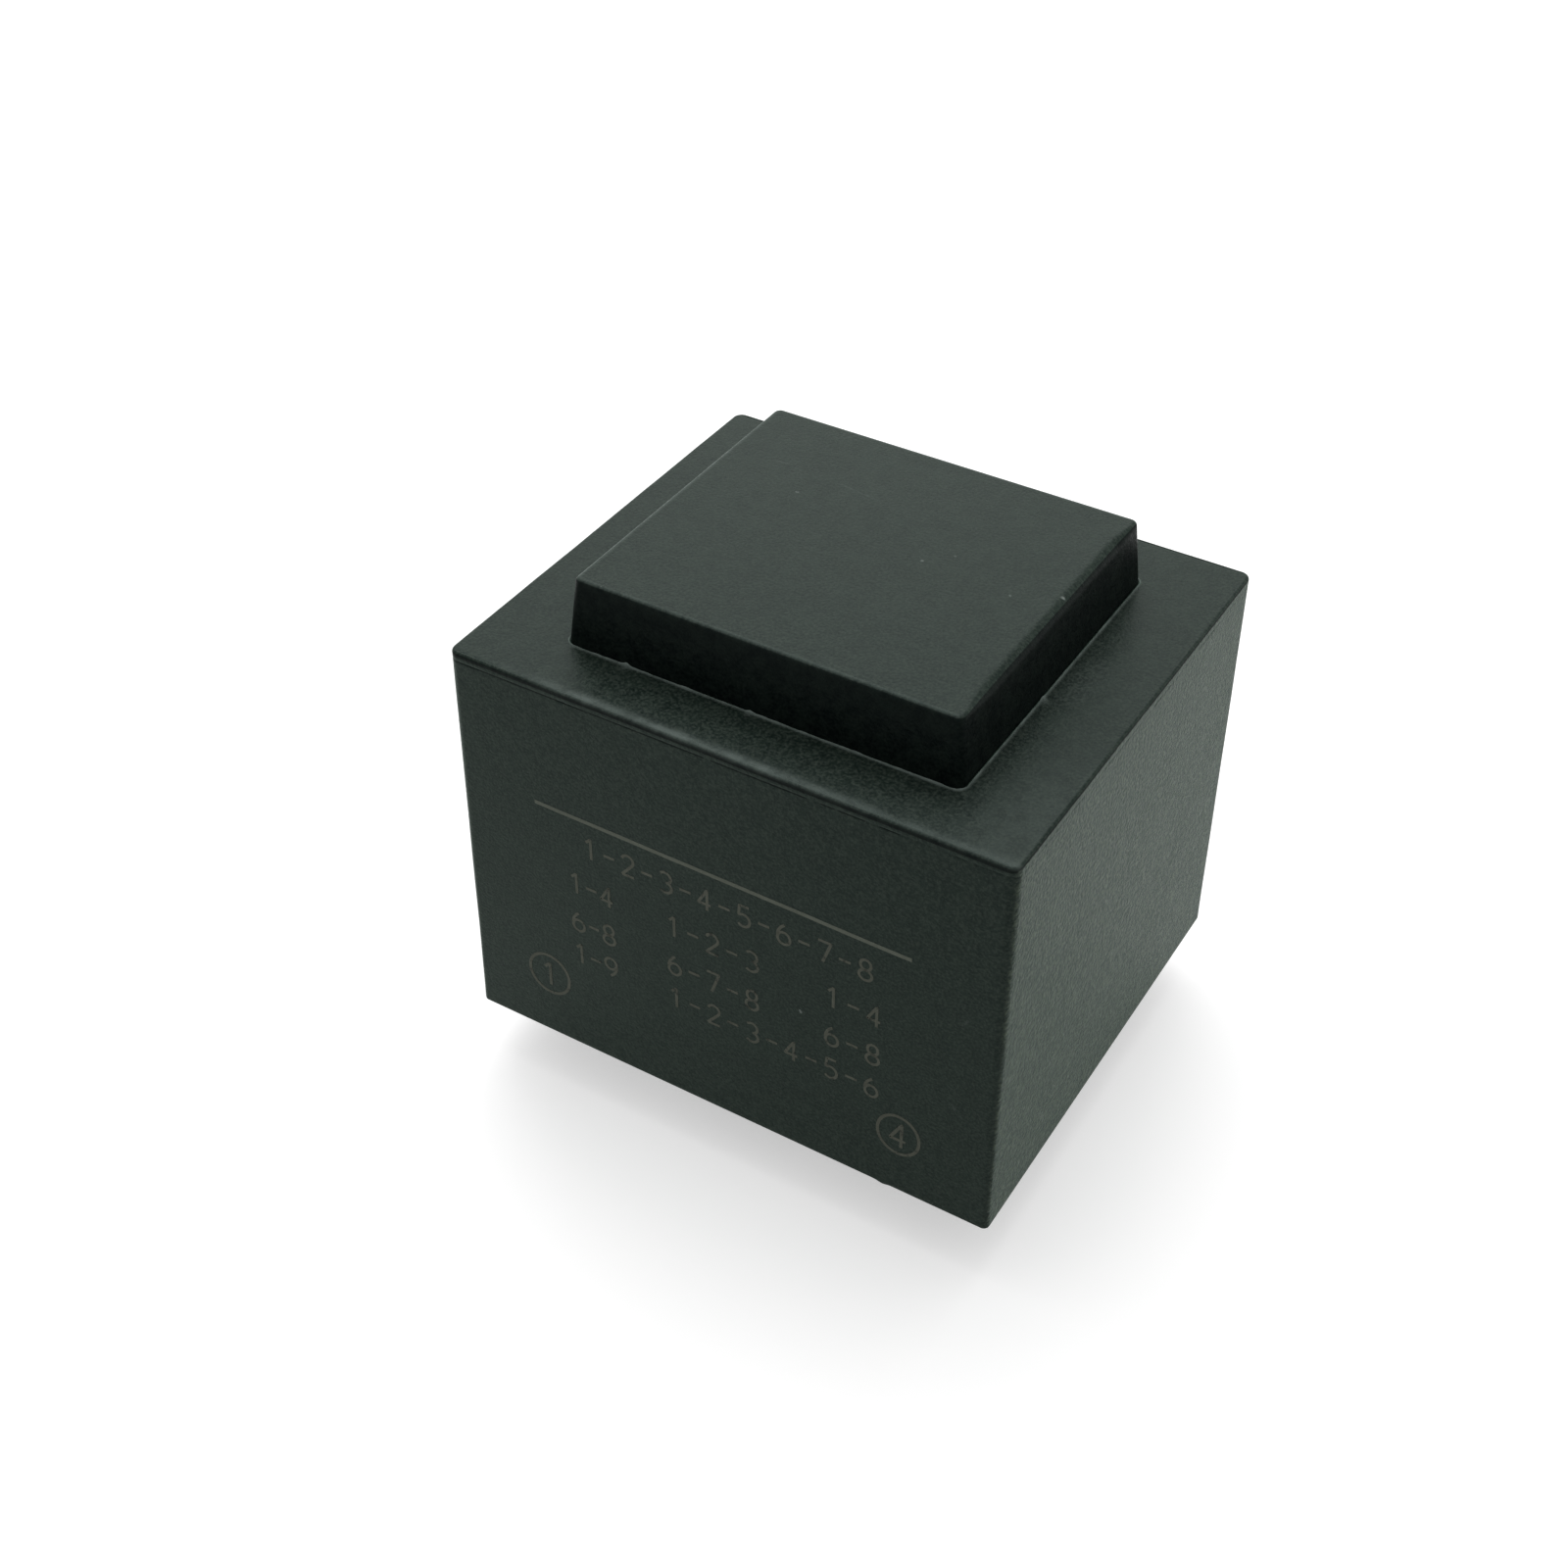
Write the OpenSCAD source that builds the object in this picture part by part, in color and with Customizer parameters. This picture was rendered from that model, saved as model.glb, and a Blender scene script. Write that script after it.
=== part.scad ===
// Encapsulated mains transformer for a printed circuit board.
// An EI core with a two-chamber coil sits head down in a moulded housing, which is potted with
// resin and closed by it. The raised block on top clears the coil, which stands proud of the core.
// The origin is the centre of the pin grid in the plane where the rim sits on the board.
// X runs along the side that carries pins 1 to 4, and that side faces -Y.

/* [Core] */
// Width of the centre leg
centre_leg_w = 10; // [8:0.5:14]
// Width of each side leg
side_leg_w = 5; // [4:0.5:8]
// Width of each window
window_w = 5; // [4.5:0.25:8]
// Length of each window
window_l = 15; // [13:0.5:24]
// Width of the yoke, and of the I sheet that closes the legs
yoke_w = 5; // [4.8:0.2:8]
// Thickness of one sheet with its insulating film
sheet_t = 0.5; // [0.35:0.05:0.65]
// Number of E sheets in the stack
sheets = 36; // [20:2:46]
// Insulating film between two sheets
film_t = 0.02; // [0.01:0.01:0.05]
// Gap where the legs of an E sheet butt against the I sheet
butt_gap = 0.02; // [0.01:0.01:0.1]

/* [Coil former] */
// Wall of the tube round the centre leg
tube_wall = 0.7; // [0.5:0.05:1]
// Outer corner radius of the tube
tube_corner = 0.5; // [0.2:0.05:1]
// Thickness of each end flange
flange_t = 0.8; // [0.5:0.05:1.2]
// Thickness of the partition between the two chambers
partition_t = 1; // [0.6:0.1:1.6]
// Corner radius of the flanges
flange_corner = 1; // [0.4:0.1:2]
// Clearance between the centre leg and the tube
leg_clear = 0.1; // [0.05:0.05:0.2]
// Clearance between the flanges and the side legs
window_clear = 0.25; // [0.1:0.05:0.5]
// Clearance between the end flanges and the yokes
yoke_clear = 0.1; // [0.05:0.05:0.3]
// How far the flanges stand proud of the taped coil, above and below
flange_proud = 0.08; // [0.02:0.02:0.3]
// Length of each pin rail
rail_w = 25; // [22:0.5:29]
// Depth of each pin rail
rail_d = 4.8; // [3.8:0.1:5]
// Height of each pin rail
rail_h = 3; // [2.7:0.1:3.3]
// Clearance between the pin rails and the core above them
rail_clear = 0.1; // [0.05:0.05:0.3]
// Corner radius of the pin rails
rail_corner = 0.6; // [0.2:0.1:1]

/* [Windings] */
// Height of the wound copper on the tube
winding_build = 3; // [2:0.1:3.4]
// Thickness of the tape round each winding
tape_t = 0.12; // [0.05:0.01:0.2]
// Wire of the two primary leads
primary_wire_d = 0.2; // [0.1:0.05:0.4]
// Wire of the two secondary leads
secondary_wire_d = 0.4; // [0.2:0.05:0.5]
// Distance from the middle of the coil to where each lead leaves it
lead_exit = 4.2; // [3:0.1:4.6]
// Distance from the flange to the point that pulls the lead's curve out
lead_bend = 1.2; // [0.6:0.1:2]
// Clearance round a lead in its notch in the flange
notch_clear = 0.15; // [0.1:0.05:0.3]

/* [Pins] */
// Diameter of a pin below the resin
pin_d = 0.8; // [0.6:0.05:1]
// Side of a pin's square root, which can't turn in its rail
pin_root_w = 0.9; // [0.8:0.05:1.1]
// Length of a pin below the seat of the housing
pin_below = 4; // [3:0.1:5]
// Chamfer on the free end of a pin
pin_tip = 0.2; // [0.1:0.05:0.25]
// Depth to which a pin is held in its rail
pin_grip = 2.3; // [1.5:0.1:2.5]
// Clearance of a pin's root on each side of its hole
pin_fit = 0.01; // [0.005:0.005:0.03]
// Distance between neighbouring places on the pin grid
pin_pitch = 5; // [4.5:0.1:5.5]
// Distance between the two rows of pins
row_gap = 20; // [19.6:0.1:20.4]
// Diameter of the solder round a pin that carries a lead
solder_d = 1.7; // [1.4:0.1:2.2]
// Height of the solder's straight part
solder_straight = 0.8; // [0.7:0.1:1]
// Height of the solder's tapered tip
solder_tip_h = 0.5; // [0.3:0.1:0.6]
// Thickness of the solder at the end of its tip
solder_skin = 0.08; // [0.04:0.02:0.2]

/* [Housing] */
// Wall of the main body
body_wall = 1.2; // [0.8:0.1:2]
// Thickness of the ledge over the core
ledge_t = 1.2; // [0.8:0.1:2]
// Draft angle of the main body's sides
body_draft = 0.35; // [0.1:0.05:1.5]
// Corner radius of the main body at its ledge
body_corner = 0.65; // [0.45:0.05:3]
// Radius of the main body's top edge
body_edge = 0.25; // [0.1:0.05:0.4]
// Wall of the raised block, measured level
block_wall = 1.2; // [0.8:0.1:1.6]
// Thickness of the raised block's top
block_top_t = 1.1; // [0.8:0.1:2]
// Draft angle of the raised block's sides
block_draft = 5.7; // [1:0.1:10]
// Corner radius of the raised block at its top
block_corner = 0.45; // [0.35:0.05:2]
// Radius of the raised block's top edge
block_edge = 0.25; // [0.1:0.05:0.3]
// Gap between the core and the side walls, under the ledge
side_gap = 0.15; // [0.1:0.05:1]
// Gap between the core and the front and back walls, under the ledge
front_gap = 0.35; // [0.1:0.05:1]
// Gap between the core and the ledge
core_top_gap = 0.1; // [0.05:0.05:0.5]
// Gap between the coil and the top of the raised block
coil_top_gap = 0.1; // [0.05:0.05:0.5]
// Gap between the coil's flanges and the raised block's side walls
coil_side_gap = 0.25; // [0.1:0.05:1]
// Gap between the coil's ends and the raised block's front and back walls
coil_end_gap = 1.45; // [0.5:0.05:1.8]
// Radius inside the corners
inner_corner = 0.4; // [0.2:0.05:0.7]
// Radius inside the top edges
inner_edge = 0.1; // [0.05:0.05:0.15]
// Width of the ribs that centre the core
rib_w = 1.2; // [0.8:0.1:2]
// Distance of the ribs from the middle of the front and back walls
rib_x = 9; // [6:0.5:11]
// Distance of the ribs from the middle of the side walls
rib_y = 7; // [4:0.5:9]

/* [Resin] */
// How far the resin stays below the rim
resin_recess = 1; // [0.5:0.1:1.2]
// Cover of resin over the underside of the coil
coil_cover = 0.9; // [0.8:0.05:2]

/* [Hidden] */
$fn = 48;
// How far a cut runs past the face that it opens
over = 1;
// How far a lead's notch runs past the faces of its flange, short of the winding's wire
notch_over = 0.01;
// Steps of the quarter round on a top edge
edge_steps = 6;
// Facets round a lead, and steps along its curve
wire_sides = 10;
lead_steps = 8;

lam_w = centre_leg_w + 2 * (window_w + side_leg_w);
lam_d = window_l + 2 * yoke_w;
stack_h = sheets * sheet_t;

tube_w = centre_leg_w + 2 * (leg_clear + tube_wall);
tube_h = stack_h + 2 * (leg_clear + tube_wall);
coil_proud = leg_clear + tube_wall + winding_build + tape_t + flange_proud;
flange_w = centre_leg_w + 2 * (window_w - window_clear);
flange_h = stack_h + 2 * coil_proud;
former_l = window_l - 2 * yoke_clear;
chamber_l = (former_l - 2 * flange_t - partition_t) / 2;
chamber_y = (partition_t + chamber_l) / 2;

// Heights, from the seat of the rim upwards
stack_z = resin_recess + coil_cover + coil_proud;
stack_top = stack_z + stack_h;
coil_z = stack_z + stack_h / 2;
rail_top = stack_z - rail_clear;
rail_z = rail_top - rail_h;
pin_top = rail_z + pin_grip;
pin_hole_w = pin_root_w + 2 * pin_fit;
winding_z = stack_z - leg_clear - tube_wall - winding_build;
lead_z = (rail_z + winding_z) / 2;
body_in_h = stack_top + core_top_gap;
body_h = body_in_h + ledge_t;
block_in_h = stack_top + coil_proud + coil_top_gap;

// Level sizes of the hollow, under the ledge and under the top of the block
hollow_w = lam_w + 2 * side_gap;
hollow_d = lam_d + 2 * front_gap;
block_hollow_w = flange_w + 2 * coil_side_gap;
block_hollow_d = former_l + 2 * coil_end_gap;

row_y = row_gap / 2;
// Place of each pin on its row's grid, counted from the middle
FRONT_PLACES = [-2, -1, 1, 2];
BACK_PLACES = [2, 1, 0, -1, -2];
pin_count = len(FRONT_PLACES) + len(BACK_PLACES);
PRIMARY_PINS = [1, 4];
SECONDARY_PINS = [6, 8];
WIRED_PINS = concat(PRIMARY_PINS, SECONDARY_PINS);

function is_front(n) = n <= len(FRONT_PLACES);
function pin_x(n) = pin_pitch * (is_front(n) ? FRONT_PLACES[n - 1] : BACK_PLACES[n - 1 - len(FRONT_PLACES)]);
function pin_y(n) = is_front(n) ? -row_y : row_y;
function row_side(n) = is_front(n) ? -1 : 1;
function wire_d(n) = is_front(n) ? primary_wire_d : secondary_wire_d;
// Size worked out from an angle, to a micron
function micron(size) = round(size * 1000) / 1000;
// Level growth of a drafted side over a height
function growth(h, draft) = micron(h * tan(draft));
// Point on a curve that leaves a towards b and reaches c, at a share t of its way
function curve_point(a, b, c, t) = (1 - t) * (1 - t) * a + 2 * t * (1 - t) * b + t * t * c;

// Rectangle with round corners, centred
module rounded_rect(w, h, r) {
    square([w - 2 * r, h], center = true);
    square([w, h - 2 * r], center = true);
    for (x = [-1, 1], y = [-1, 1])
        translate([x * (w / 2 - r), y * (h / 2 - r)]) circle(r);
}

// Profile of a drafted side with a quarter round on its top edge, from a corner's axis outwards
module side_profile(h, draft, corner, edge) {
    round_x = corner - growth(h - edge, draft) - edge;
    polygon(concat(
        [[0, 0], [corner, 0]],
        [for (k = [0:edge_steps]) let (a = 90 * k / edge_steps)
            [round_x + edge * cos(a), h - edge + edge * sin(a)]],
        [[0, h]]
    ));
}

// Box on z = 0 with drafted sides, round corners and a round top edge; w, d and corner at its foot
module drafted_box(w, d, h, draft, corner, edge) {
    cx = micron(w / 2 - corner);
    cy = micron(d / 2 - corner);
    translate([-cx, -cy, 0]) cube([2 * cx, 2 * cy, h]);
    for (turn = [0, 180]) rotate(turn) {
        translate([cx, cy, 0]) rotate([90, 0, 0])
            linear_extrude(2 * cy) side_profile(h, draft, corner, edge);
        translate([-cx, cy, 0]) rotate([90, 0, 90])
            linear_extrude(2 * cx) side_profile(h, draft, corner, edge);
    }
    for (x = [0, 1], y = [0, 1])
        mirror([x, 0, 0]) mirror([0, y, 0]) translate([cx, cy, 0])
            rotate_extrude(angle = 90) side_profile(h, draft, corner, edge);
}

// Drafted box whose w and d hold at height h, with its foot at height foot
module drafted_to(w, d, h, foot, draft, corner, edge) {
    grow = 2 * growth(h - foot, draft);
    translate([0, 0, foot])
        drafted_box(w + grow, d + grow, h - foot, draft, corner + growth(h - foot, draft), edge);
}

// Outside round one part of the hollow: a wall beside it and a top over it
module outside(in_w, in_d, in_h, wall, top_t, foot, draft, corner, edge) {
    out = 2 * (wall - growth(top_t, draft));
    drafted_to(in_w + out, in_d + out, in_h + top_t, foot, draft, corner, edge);
}

// Outside of the housing: main body and raised block
module outer_form() {
    outside(
        hollow_w, hollow_d, body_in_h, body_wall, ledge_t,
        0, body_draft, body_corner, body_edge
    );
    outside(
        block_hollow_w, block_hollow_d, block_in_h, block_wall, block_top_t,
        body_h - ledge_t / 2, block_draft, block_corner, block_edge
    );
}

// Hollow of the housing, without its ribs
module plain_hollow() {
    drafted_to(hollow_w, hollow_d, body_in_h, -over, body_draft, inner_corner, inner_edge);
    drafted_to(
        block_hollow_w, block_hollow_d, block_in_h, body_in_h - over, block_draft,
        inner_corner, inner_edge
    );
}

// Ribs on the inside of the four walls, which touch the core
module core_ribs() {
    rib_h = body_h - stack_z;
    for (side = [-1, 1], x = [-rib_x, rib_x])
        translate([x - rib_w / 2, side > 0 ? lam_d / 2 : -lam_d / 2 - body_wall, stack_z])
            cube([rib_w, body_wall, rib_h]);
    for (side = [-1, 1], y = [-rib_y, rib_y])
        translate([side > 0 ? lam_w / 2 : -lam_w / 2 - body_wall, y - rib_w / 2, stack_z])
            cube([body_wall, rib_w, rib_h]);
}

module hollow() {
    difference() {
        plain_hollow();
        core_ribs();
    }
}

module housing() {
    color("#3a4441") difference() {
        outer_form();
        hollow();
    }
}

// Outer space that the core takes up, with its two windows open
module core_space() {
    translate([0, 0, stack_z]) linear_extrude(stack_h) difference() {
        square([lam_w, lam_d], center = true);
        for (side = [-1, 1])
            translate([side * (centre_leg_w + window_w) / 2, 0]) square([window_w, window_l], center = true);
    }
}

// E sheet with its yoke at the +Y end
module e_outline() {
    translate([-lam_w / 2, window_l / 2]) square([lam_w, yoke_w]);
    leg_l = window_l - butt_gap;
    for (side = [-1, 0, 1]) {
        leg_w = side == 0 ? centre_leg_w : side_leg_w;
        translate([side * (lam_w - side_leg_w) / 2 - leg_w / 2, window_l / 2 - leg_l])
            square([leg_w, leg_l]);
    }
}

// I sheet at the -Y end
module i_outline() {
    translate([-lam_w / 2, -lam_d / 2]) square([lam_w, yoke_w]);
}

// Stack of one kind of sheet, each turned end for end from the one below
module interleaved() {
    for (k = [0:sheets - 1])
        translate([0, 0, stack_z + k * sheet_t + film_t / 2]) rotate(180 * (k % 2))
            linear_extrude(sheet_t - film_t) children();
}

module e_laminations() {
    color("#8d9194") interleaved() e_outline();
}

module i_laminations() {
    color("#83878a") interleaved() i_outline();
}

// Upright outline run along Y from y0, centred on the coil
module along_y(y0, length) {
    translate([0, y0 + length, coil_z]) rotate([90, 0, 0]) linear_extrude(length) children();
}

// Tube, end flanges, partition and pin rails, moulded in one
module former_body() {
    along_y(-former_l / 2, former_l) rounded_rect(tube_w, tube_h, tube_corner);
    for (y = [-former_l / 2, former_l / 2 - flange_t])
        along_y(y, flange_t) rounded_rect(flange_w, flange_h, flange_corner);
    along_y(-partition_t / 2, partition_t) rounded_rect(flange_w, flange_h, flange_corner);
    for (side = [-1, 1])
        translate([0, side * (former_l - flange_t + rail_d) / 2, rail_z])
            linear_extrude(rail_h) rounded_rect(rail_w, rail_d + flange_t, rail_corner);
}

// Notch in the flange's lower edge, where a lead passes
module lead_notch(n) {
    notch_w = wire_d(n) + 2 * notch_clear;
    x = lead_exit * sign(pin_x(n));
    y = row_side(n) * (former_l - flange_t) / 2;
    foot = stack_z - coil_proud - over;
    translate([x - notch_w / 2, y - flange_t / 2 - notch_over, foot])
        cube([notch_w, flange_t + 2 * notch_over, lead_z + notch_w / 2 - foot]);
}

module coil_former() {
    color("#2b2b2d") difference() {
        former_body();
        along_y(-former_l / 2 - over, former_l + 2 * over)
            square([centre_leg_w + 2 * leg_clear, stack_h + 2 * leg_clear], center = true);
        for (n = WIRED_PINS) lead_notch(n);
        for (n = [1:pin_count]) pin_hole(n);
    }
}

// Ring of the given build round the tube, in the chamber on one side of the partition
module chamber_ring(side, inside, build) {
    along_y(side * chamber_y - chamber_l / 2, chamber_l) difference() {
        rounded_rect(tube_w + 2 * (inside + build), tube_h + 2 * (inside + build), tube_corner + inside + build);
        rounded_rect(tube_w + 2 * inside, tube_h + 2 * inside, tube_corner + inside);
    }
}

module primary_winding() {
    color("#a4532a") chamber_ring(-1, 0, winding_build);
}

module secondary_winding() {
    color("#b4632f") chamber_ring(1, 0, winding_build);
}

module primary_tape() {
    color("#d9b13b") chamber_ring(-1, winding_build, tape_t);
}

module secondary_tape() {
    color("#d9b13b") chamber_ring(1, winding_build, tape_t);
}

// Pin with a round, chamfered free end and a square root, which starts level with the resin
module pin(n) {
    color("#c9ccce") translate([pin_x(n), pin_y(n), 0]) {
        rotate_extrude() polygon([
            [0, -pin_below],
            [pin_d / 2 - pin_tip, -pin_below],
            [pin_d / 2, -pin_below + pin_tip],
            [pin_d / 2, resin_recess],
            [0, resin_recess],
        ]);
        translate([0, 0, resin_recess]) linear_extrude(pin_top - resin_recess)
            square(pin_root_w, center = true);
    }
}

// Blind hole that holds a pin's root, open downwards
module pin_hole(n) {
    translate([pin_x(n), pin_y(n), -over]) linear_extrude(pin_top + over)
        square(pin_hole_w, center = true);
}

// Outer form of the solder round a pin, under the rail
module solder_form(n) {
    translate([pin_x(n), pin_y(n), rail_z]) rotate_extrude() polygon([
        [0, -solder_straight - solder_tip_h],
        [pin_hole_w / sqrt(2) + solder_skin, -solder_straight - solder_tip_h],
        [solder_d / 2, -solder_straight],
        [solder_d / 2, 0],
        [0, 0],
    ]);
}

module solder(n) {
    color("#b5b8ba") difference() {
        solder_form(n);
        pin_hole(n);
    }
}

// Round wire along points at one height
module wire(points, d) {
    last = len(points) - 1;
    sides = [0:wire_sides - 1];
    rings = [for (i = [0:last]) let (
        run = points[min(i + 1, last)] - points[max(i - 1, 0)],
        across = [-run[1], run[0], 0] / norm(run)
    ) for (k = sides) let (a = 360 * (k + 0.5) / wire_sides)
        points[i] + d / 2 * (cos(a) * across + sin(a) * [0, 0, 1])];
    walls = [for (i = [0:last - 1], k = sides) let (
        a = i * wire_sides + k,
        b = i * wire_sides + (k + 1) % wire_sides
    ) each [[a, b, b + wire_sides], [a, b + wire_sides, a + wire_sides]]];
    near = [for (k = sides) wire_sides - 1 - k];
    far = [for (k = sides) last * wire_sides + k];
    polyhedron(rings, concat(walls, [near, far]));
}

// Way of a lead: straight through the flange's notch, then round to its pin
module lead_way(n) {
    side = row_side(n);
    x = lead_exit * sign(pin_x(n));
    start = [x, side * (former_l / 2 - flange_t), lead_z];
    leave = [x, side * former_l / 2, lead_z];
    bend = [x, side * (former_l / 2 + lead_bend), lead_z];
    end = [pin_x(n), pin_y(n), lead_z];
    curve = [for (k = [0:lead_steps]) curve_point(leave, bend, end, k / lead_steps)];
    wire(concat([start], curve), wire_d(n));
}

// Wire from the end of the winding to the solder on its pin
module lead(n) {
    color("#b5612c") difference() {
        lead_way(n);
        solder_form(n);
    }
}

// Fills the hollow round everything in it, up to its recess below the rim
module potting_resin() {
    color("#1f1d1a") difference() {
        hollow();
        translate([-lam_w, -lam_d, -2 * over]) cube([2 * lam_w, 2 * lam_d, resin_recess + 2 * over]);
        core_space();
        coil_former();
        for (side = [-1, 1]) chamber_ring(side, 0, winding_build + tape_t);
        for (n = WIRED_PINS) {
            lead_way(n);
            solder_form(n);
        }
        for (n = [1:pin_count]) pin_hole(n);
    }
}

housing();
potting_resin();
e_laminations();
i_laminations();
coil_former();
primary_winding();
secondary_winding();
primary_tape();
secondary_tape();
for (n = WIRED_PINS) lead(n);
for (n = WIRED_PINS) solder(n);
for (n = [1:pin_count]) pin(n);
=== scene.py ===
"""Looks of an encapsulated circuit board transformer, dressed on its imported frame.

Metres, in the part's own frame: the origin is the centre of the pin grid in the plane where the rim
sits on the board, Z points up, X runs along the printed side, and that side faces -Y.
"""

import math

import bpy
import numpy as np
from mathutils import Euler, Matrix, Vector


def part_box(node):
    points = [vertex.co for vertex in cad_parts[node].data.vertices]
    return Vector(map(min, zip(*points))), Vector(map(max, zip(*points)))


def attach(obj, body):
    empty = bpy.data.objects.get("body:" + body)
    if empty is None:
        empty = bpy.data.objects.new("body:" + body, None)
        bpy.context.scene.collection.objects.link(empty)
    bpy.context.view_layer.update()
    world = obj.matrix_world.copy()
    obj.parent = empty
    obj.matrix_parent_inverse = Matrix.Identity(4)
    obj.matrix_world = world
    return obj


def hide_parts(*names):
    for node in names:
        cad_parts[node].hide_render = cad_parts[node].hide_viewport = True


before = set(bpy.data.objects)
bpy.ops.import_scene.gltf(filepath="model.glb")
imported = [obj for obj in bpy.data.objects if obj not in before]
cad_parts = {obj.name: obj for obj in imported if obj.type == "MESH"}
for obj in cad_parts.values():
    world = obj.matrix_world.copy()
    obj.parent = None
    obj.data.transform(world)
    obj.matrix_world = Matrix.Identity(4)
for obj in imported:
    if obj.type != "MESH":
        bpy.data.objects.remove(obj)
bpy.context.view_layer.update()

MM = 0.001
BODY = "root"

# -------------------- Sizes taken from the frame --------------------

LEVEL = 0.01 * MM  # how far a corner may lie from a level and still count as on it


def corners_of(node):
    """Corners of a CAD node as an array of points."""
    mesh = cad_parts[node].data
    points = np.empty(len(mesh.vertices) * 3, np.float32)
    mesh.vertices.foreach_get("co", points)
    return points.reshape(-1, 3).astype(float)


def on_level(points, height):
    """The points that lie at one height."""
    return points[np.abs(points[:, 2] - height) < LEVEL]


def half_size(points):
    """Half sizes along X and Y of points that are symmetric about the Z axis."""
    return np.abs(points[:, :2]).max(0)


# Edge and corner radii. The two edges are those of the CAD housing.
BODY_EDGE = 0.25 * MM
BODY_CORNER = 0.6 * MM
BODY_FOOT_CORNER = 0.35 * MM
BLOCK_EDGE = 0.25 * MM
BLOCK_CORNER = 0.45 * MM
BLOCK_FOOT_CORNER = 0.55 * MM
INNER_CORNER = 0.4 * MM
# The body's walls lie beyond this share of the half sizes, and the block within it
BLOCK_WITHIN = 0.9

shell = corners_of("housing")
RIM = half_size(on_level(shell, 0))
LEDGE_Z = shell[np.abs(shell[:, 0]) > BLOCK_WITHIN * RIM[0], 2].max()
TOP_Z = shell[:, 2].max()
BODY_TOP = half_size(on_level(shell, LEDGE_Z - BODY_EDGE))
ledge_points = on_level(shell, LEDGE_Z)
on_block = (np.abs(ledge_points[:, :2]) < BLOCK_WITHIN * RIM).all(1)
BLOCK_FOOT = half_size(ledge_points[on_block])
BLOCK_TOP = half_size(on_level(shell, TOP_Z - BLOCK_EDGE))

cast = corners_of("potting_resin")
RESIN_Z = cast[:, 2].min()
HOLLOW_FOOT = half_size(on_level(cast, RESIN_Z))
UNDER_LEDGE_Z = cast[np.abs(cast[:, 0]) > BLOCK_WITHIN * HOLLOW_FOOT[0], 2].max()
UNDER_TOP_Z = cast[:, 2].max()
SHEETS = half_size(corners_of("e_laminations"))
STACK_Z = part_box("e_laminations")[0].z
WALL = RIM - HOLLOW_FOOT
HOLLOW_TOP = BODY_TOP - WALL
BLOCK_HOLLOW = BLOCK_TOP - WALL
PINS = [f"pin_{n}" for n in range(1, 10)]
FLOOR_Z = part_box(PINS[0])[0].z  # the floor is at the pins' tips

# -------------------- Surfaces --------------------


def square_walk(along_x, along_y, per_corner):
    """Columns round a square, anticlockwise from the left end of the side that faces -Y.

    Returns each column's place on the square of half size 1 and the level direction outwards there.
    Each quarter is a straight side and a quarter circle of directions, turned by a right angle.
    """
    places, directions = [], []
    for quarter in range(4):
        count = along_x if quarter % 2 == 0 else along_y
        side = np.stack([np.linspace(-1, 1, count, endpoint=False), -np.ones(count)], 1)
        angle = np.linspace(-math.pi / 2, 0, per_corner, endpoint=False)
        place = np.vstack([side, np.tile([1.0, -1.0], (per_corner, 1))])
        direction = np.vstack(
            [np.tile([0.0, -1.0], (count, 1)), np.stack([np.cos(angle), np.sin(angle)], 1)]
        )
        cos, sin = round(math.cos(quarter * math.pi / 2)), round(math.sin(quarter * math.pi / 2))
        turn = np.array([[cos, sin], [-sin, cos]], float)
        places.append(place @ turn)
        directions.append(direction @ turn)
    return np.vstack(places), np.vstack(directions)


def rings(walk, rows):
    """One ring of points for each row (half X, half Y, corner radius, height).

    A point is the column's place times the half sizes less the radius, plus the radius times the
    column's direction, so each ring is a rectangle with round corners.
    """
    place, direction = walk
    half, radius, height = rows[:, None, :2], rows[:, None, 2:3], rows[:, 3]
    level = place[None] * (half - radius) + direction[None] * radius
    return np.concatenate([level, np.repeat(height[:, None, None], len(place), 1)], 2)


def run(first, last, shares):
    """Rows on the straight way from one row to another, at the given shares of it."""
    shares = np.asarray(shares, float)[:, None]
    return (1 - shares) * np.asarray(first) + shares * np.asarray(last)


def round_over(row, edge, steps):
    """Rows of a quarter round from a wall onto the level face above it.

    The half sizes and the corner lose the edge radius times one less the cosine of the turn, and
    the height gains the edge radius times its sine.
    """
    turn = np.linspace(0, math.pi / 2, steps + 1)[1:]
    lost = edge * (1 - np.cos(turn))
    return np.stack([row[0] - lost, row[1] - lost, row[2] - lost, row[3] + edge * np.sin(turn)], 1)


def mesh_piece(name, points, faces, material, slot, smooth_below=40):
    """Object with that mesh, its faces pointing outwards, which rides on the part's body."""
    mesh = bpy.data.meshes.new(name)
    mesh.from_pydata(points.tolist(), [], faces)
    mesh.update()
    triangles = np.empty(len(mesh.loop_triangles) * 3, np.int32)
    mesh.loop_triangles.foreach_get("vertices", triangles)
    a, b, c = points[triangles.reshape(-1, 3).T]
    if np.einsum("ij,ij->i", a, np.cross(b, c)).sum() < 0:
        mesh.flip_normals()
    mesh.shade_smooth()
    mesh.set_sharp_from_angle(angle=math.radians(smooth_below))
    mesh.materials.append(material)
    piece = bpy.data.objects.new(name, mesh)
    bpy.context.scene.collection.objects.link(piece)
    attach(piece, BODY)
    return piece


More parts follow.
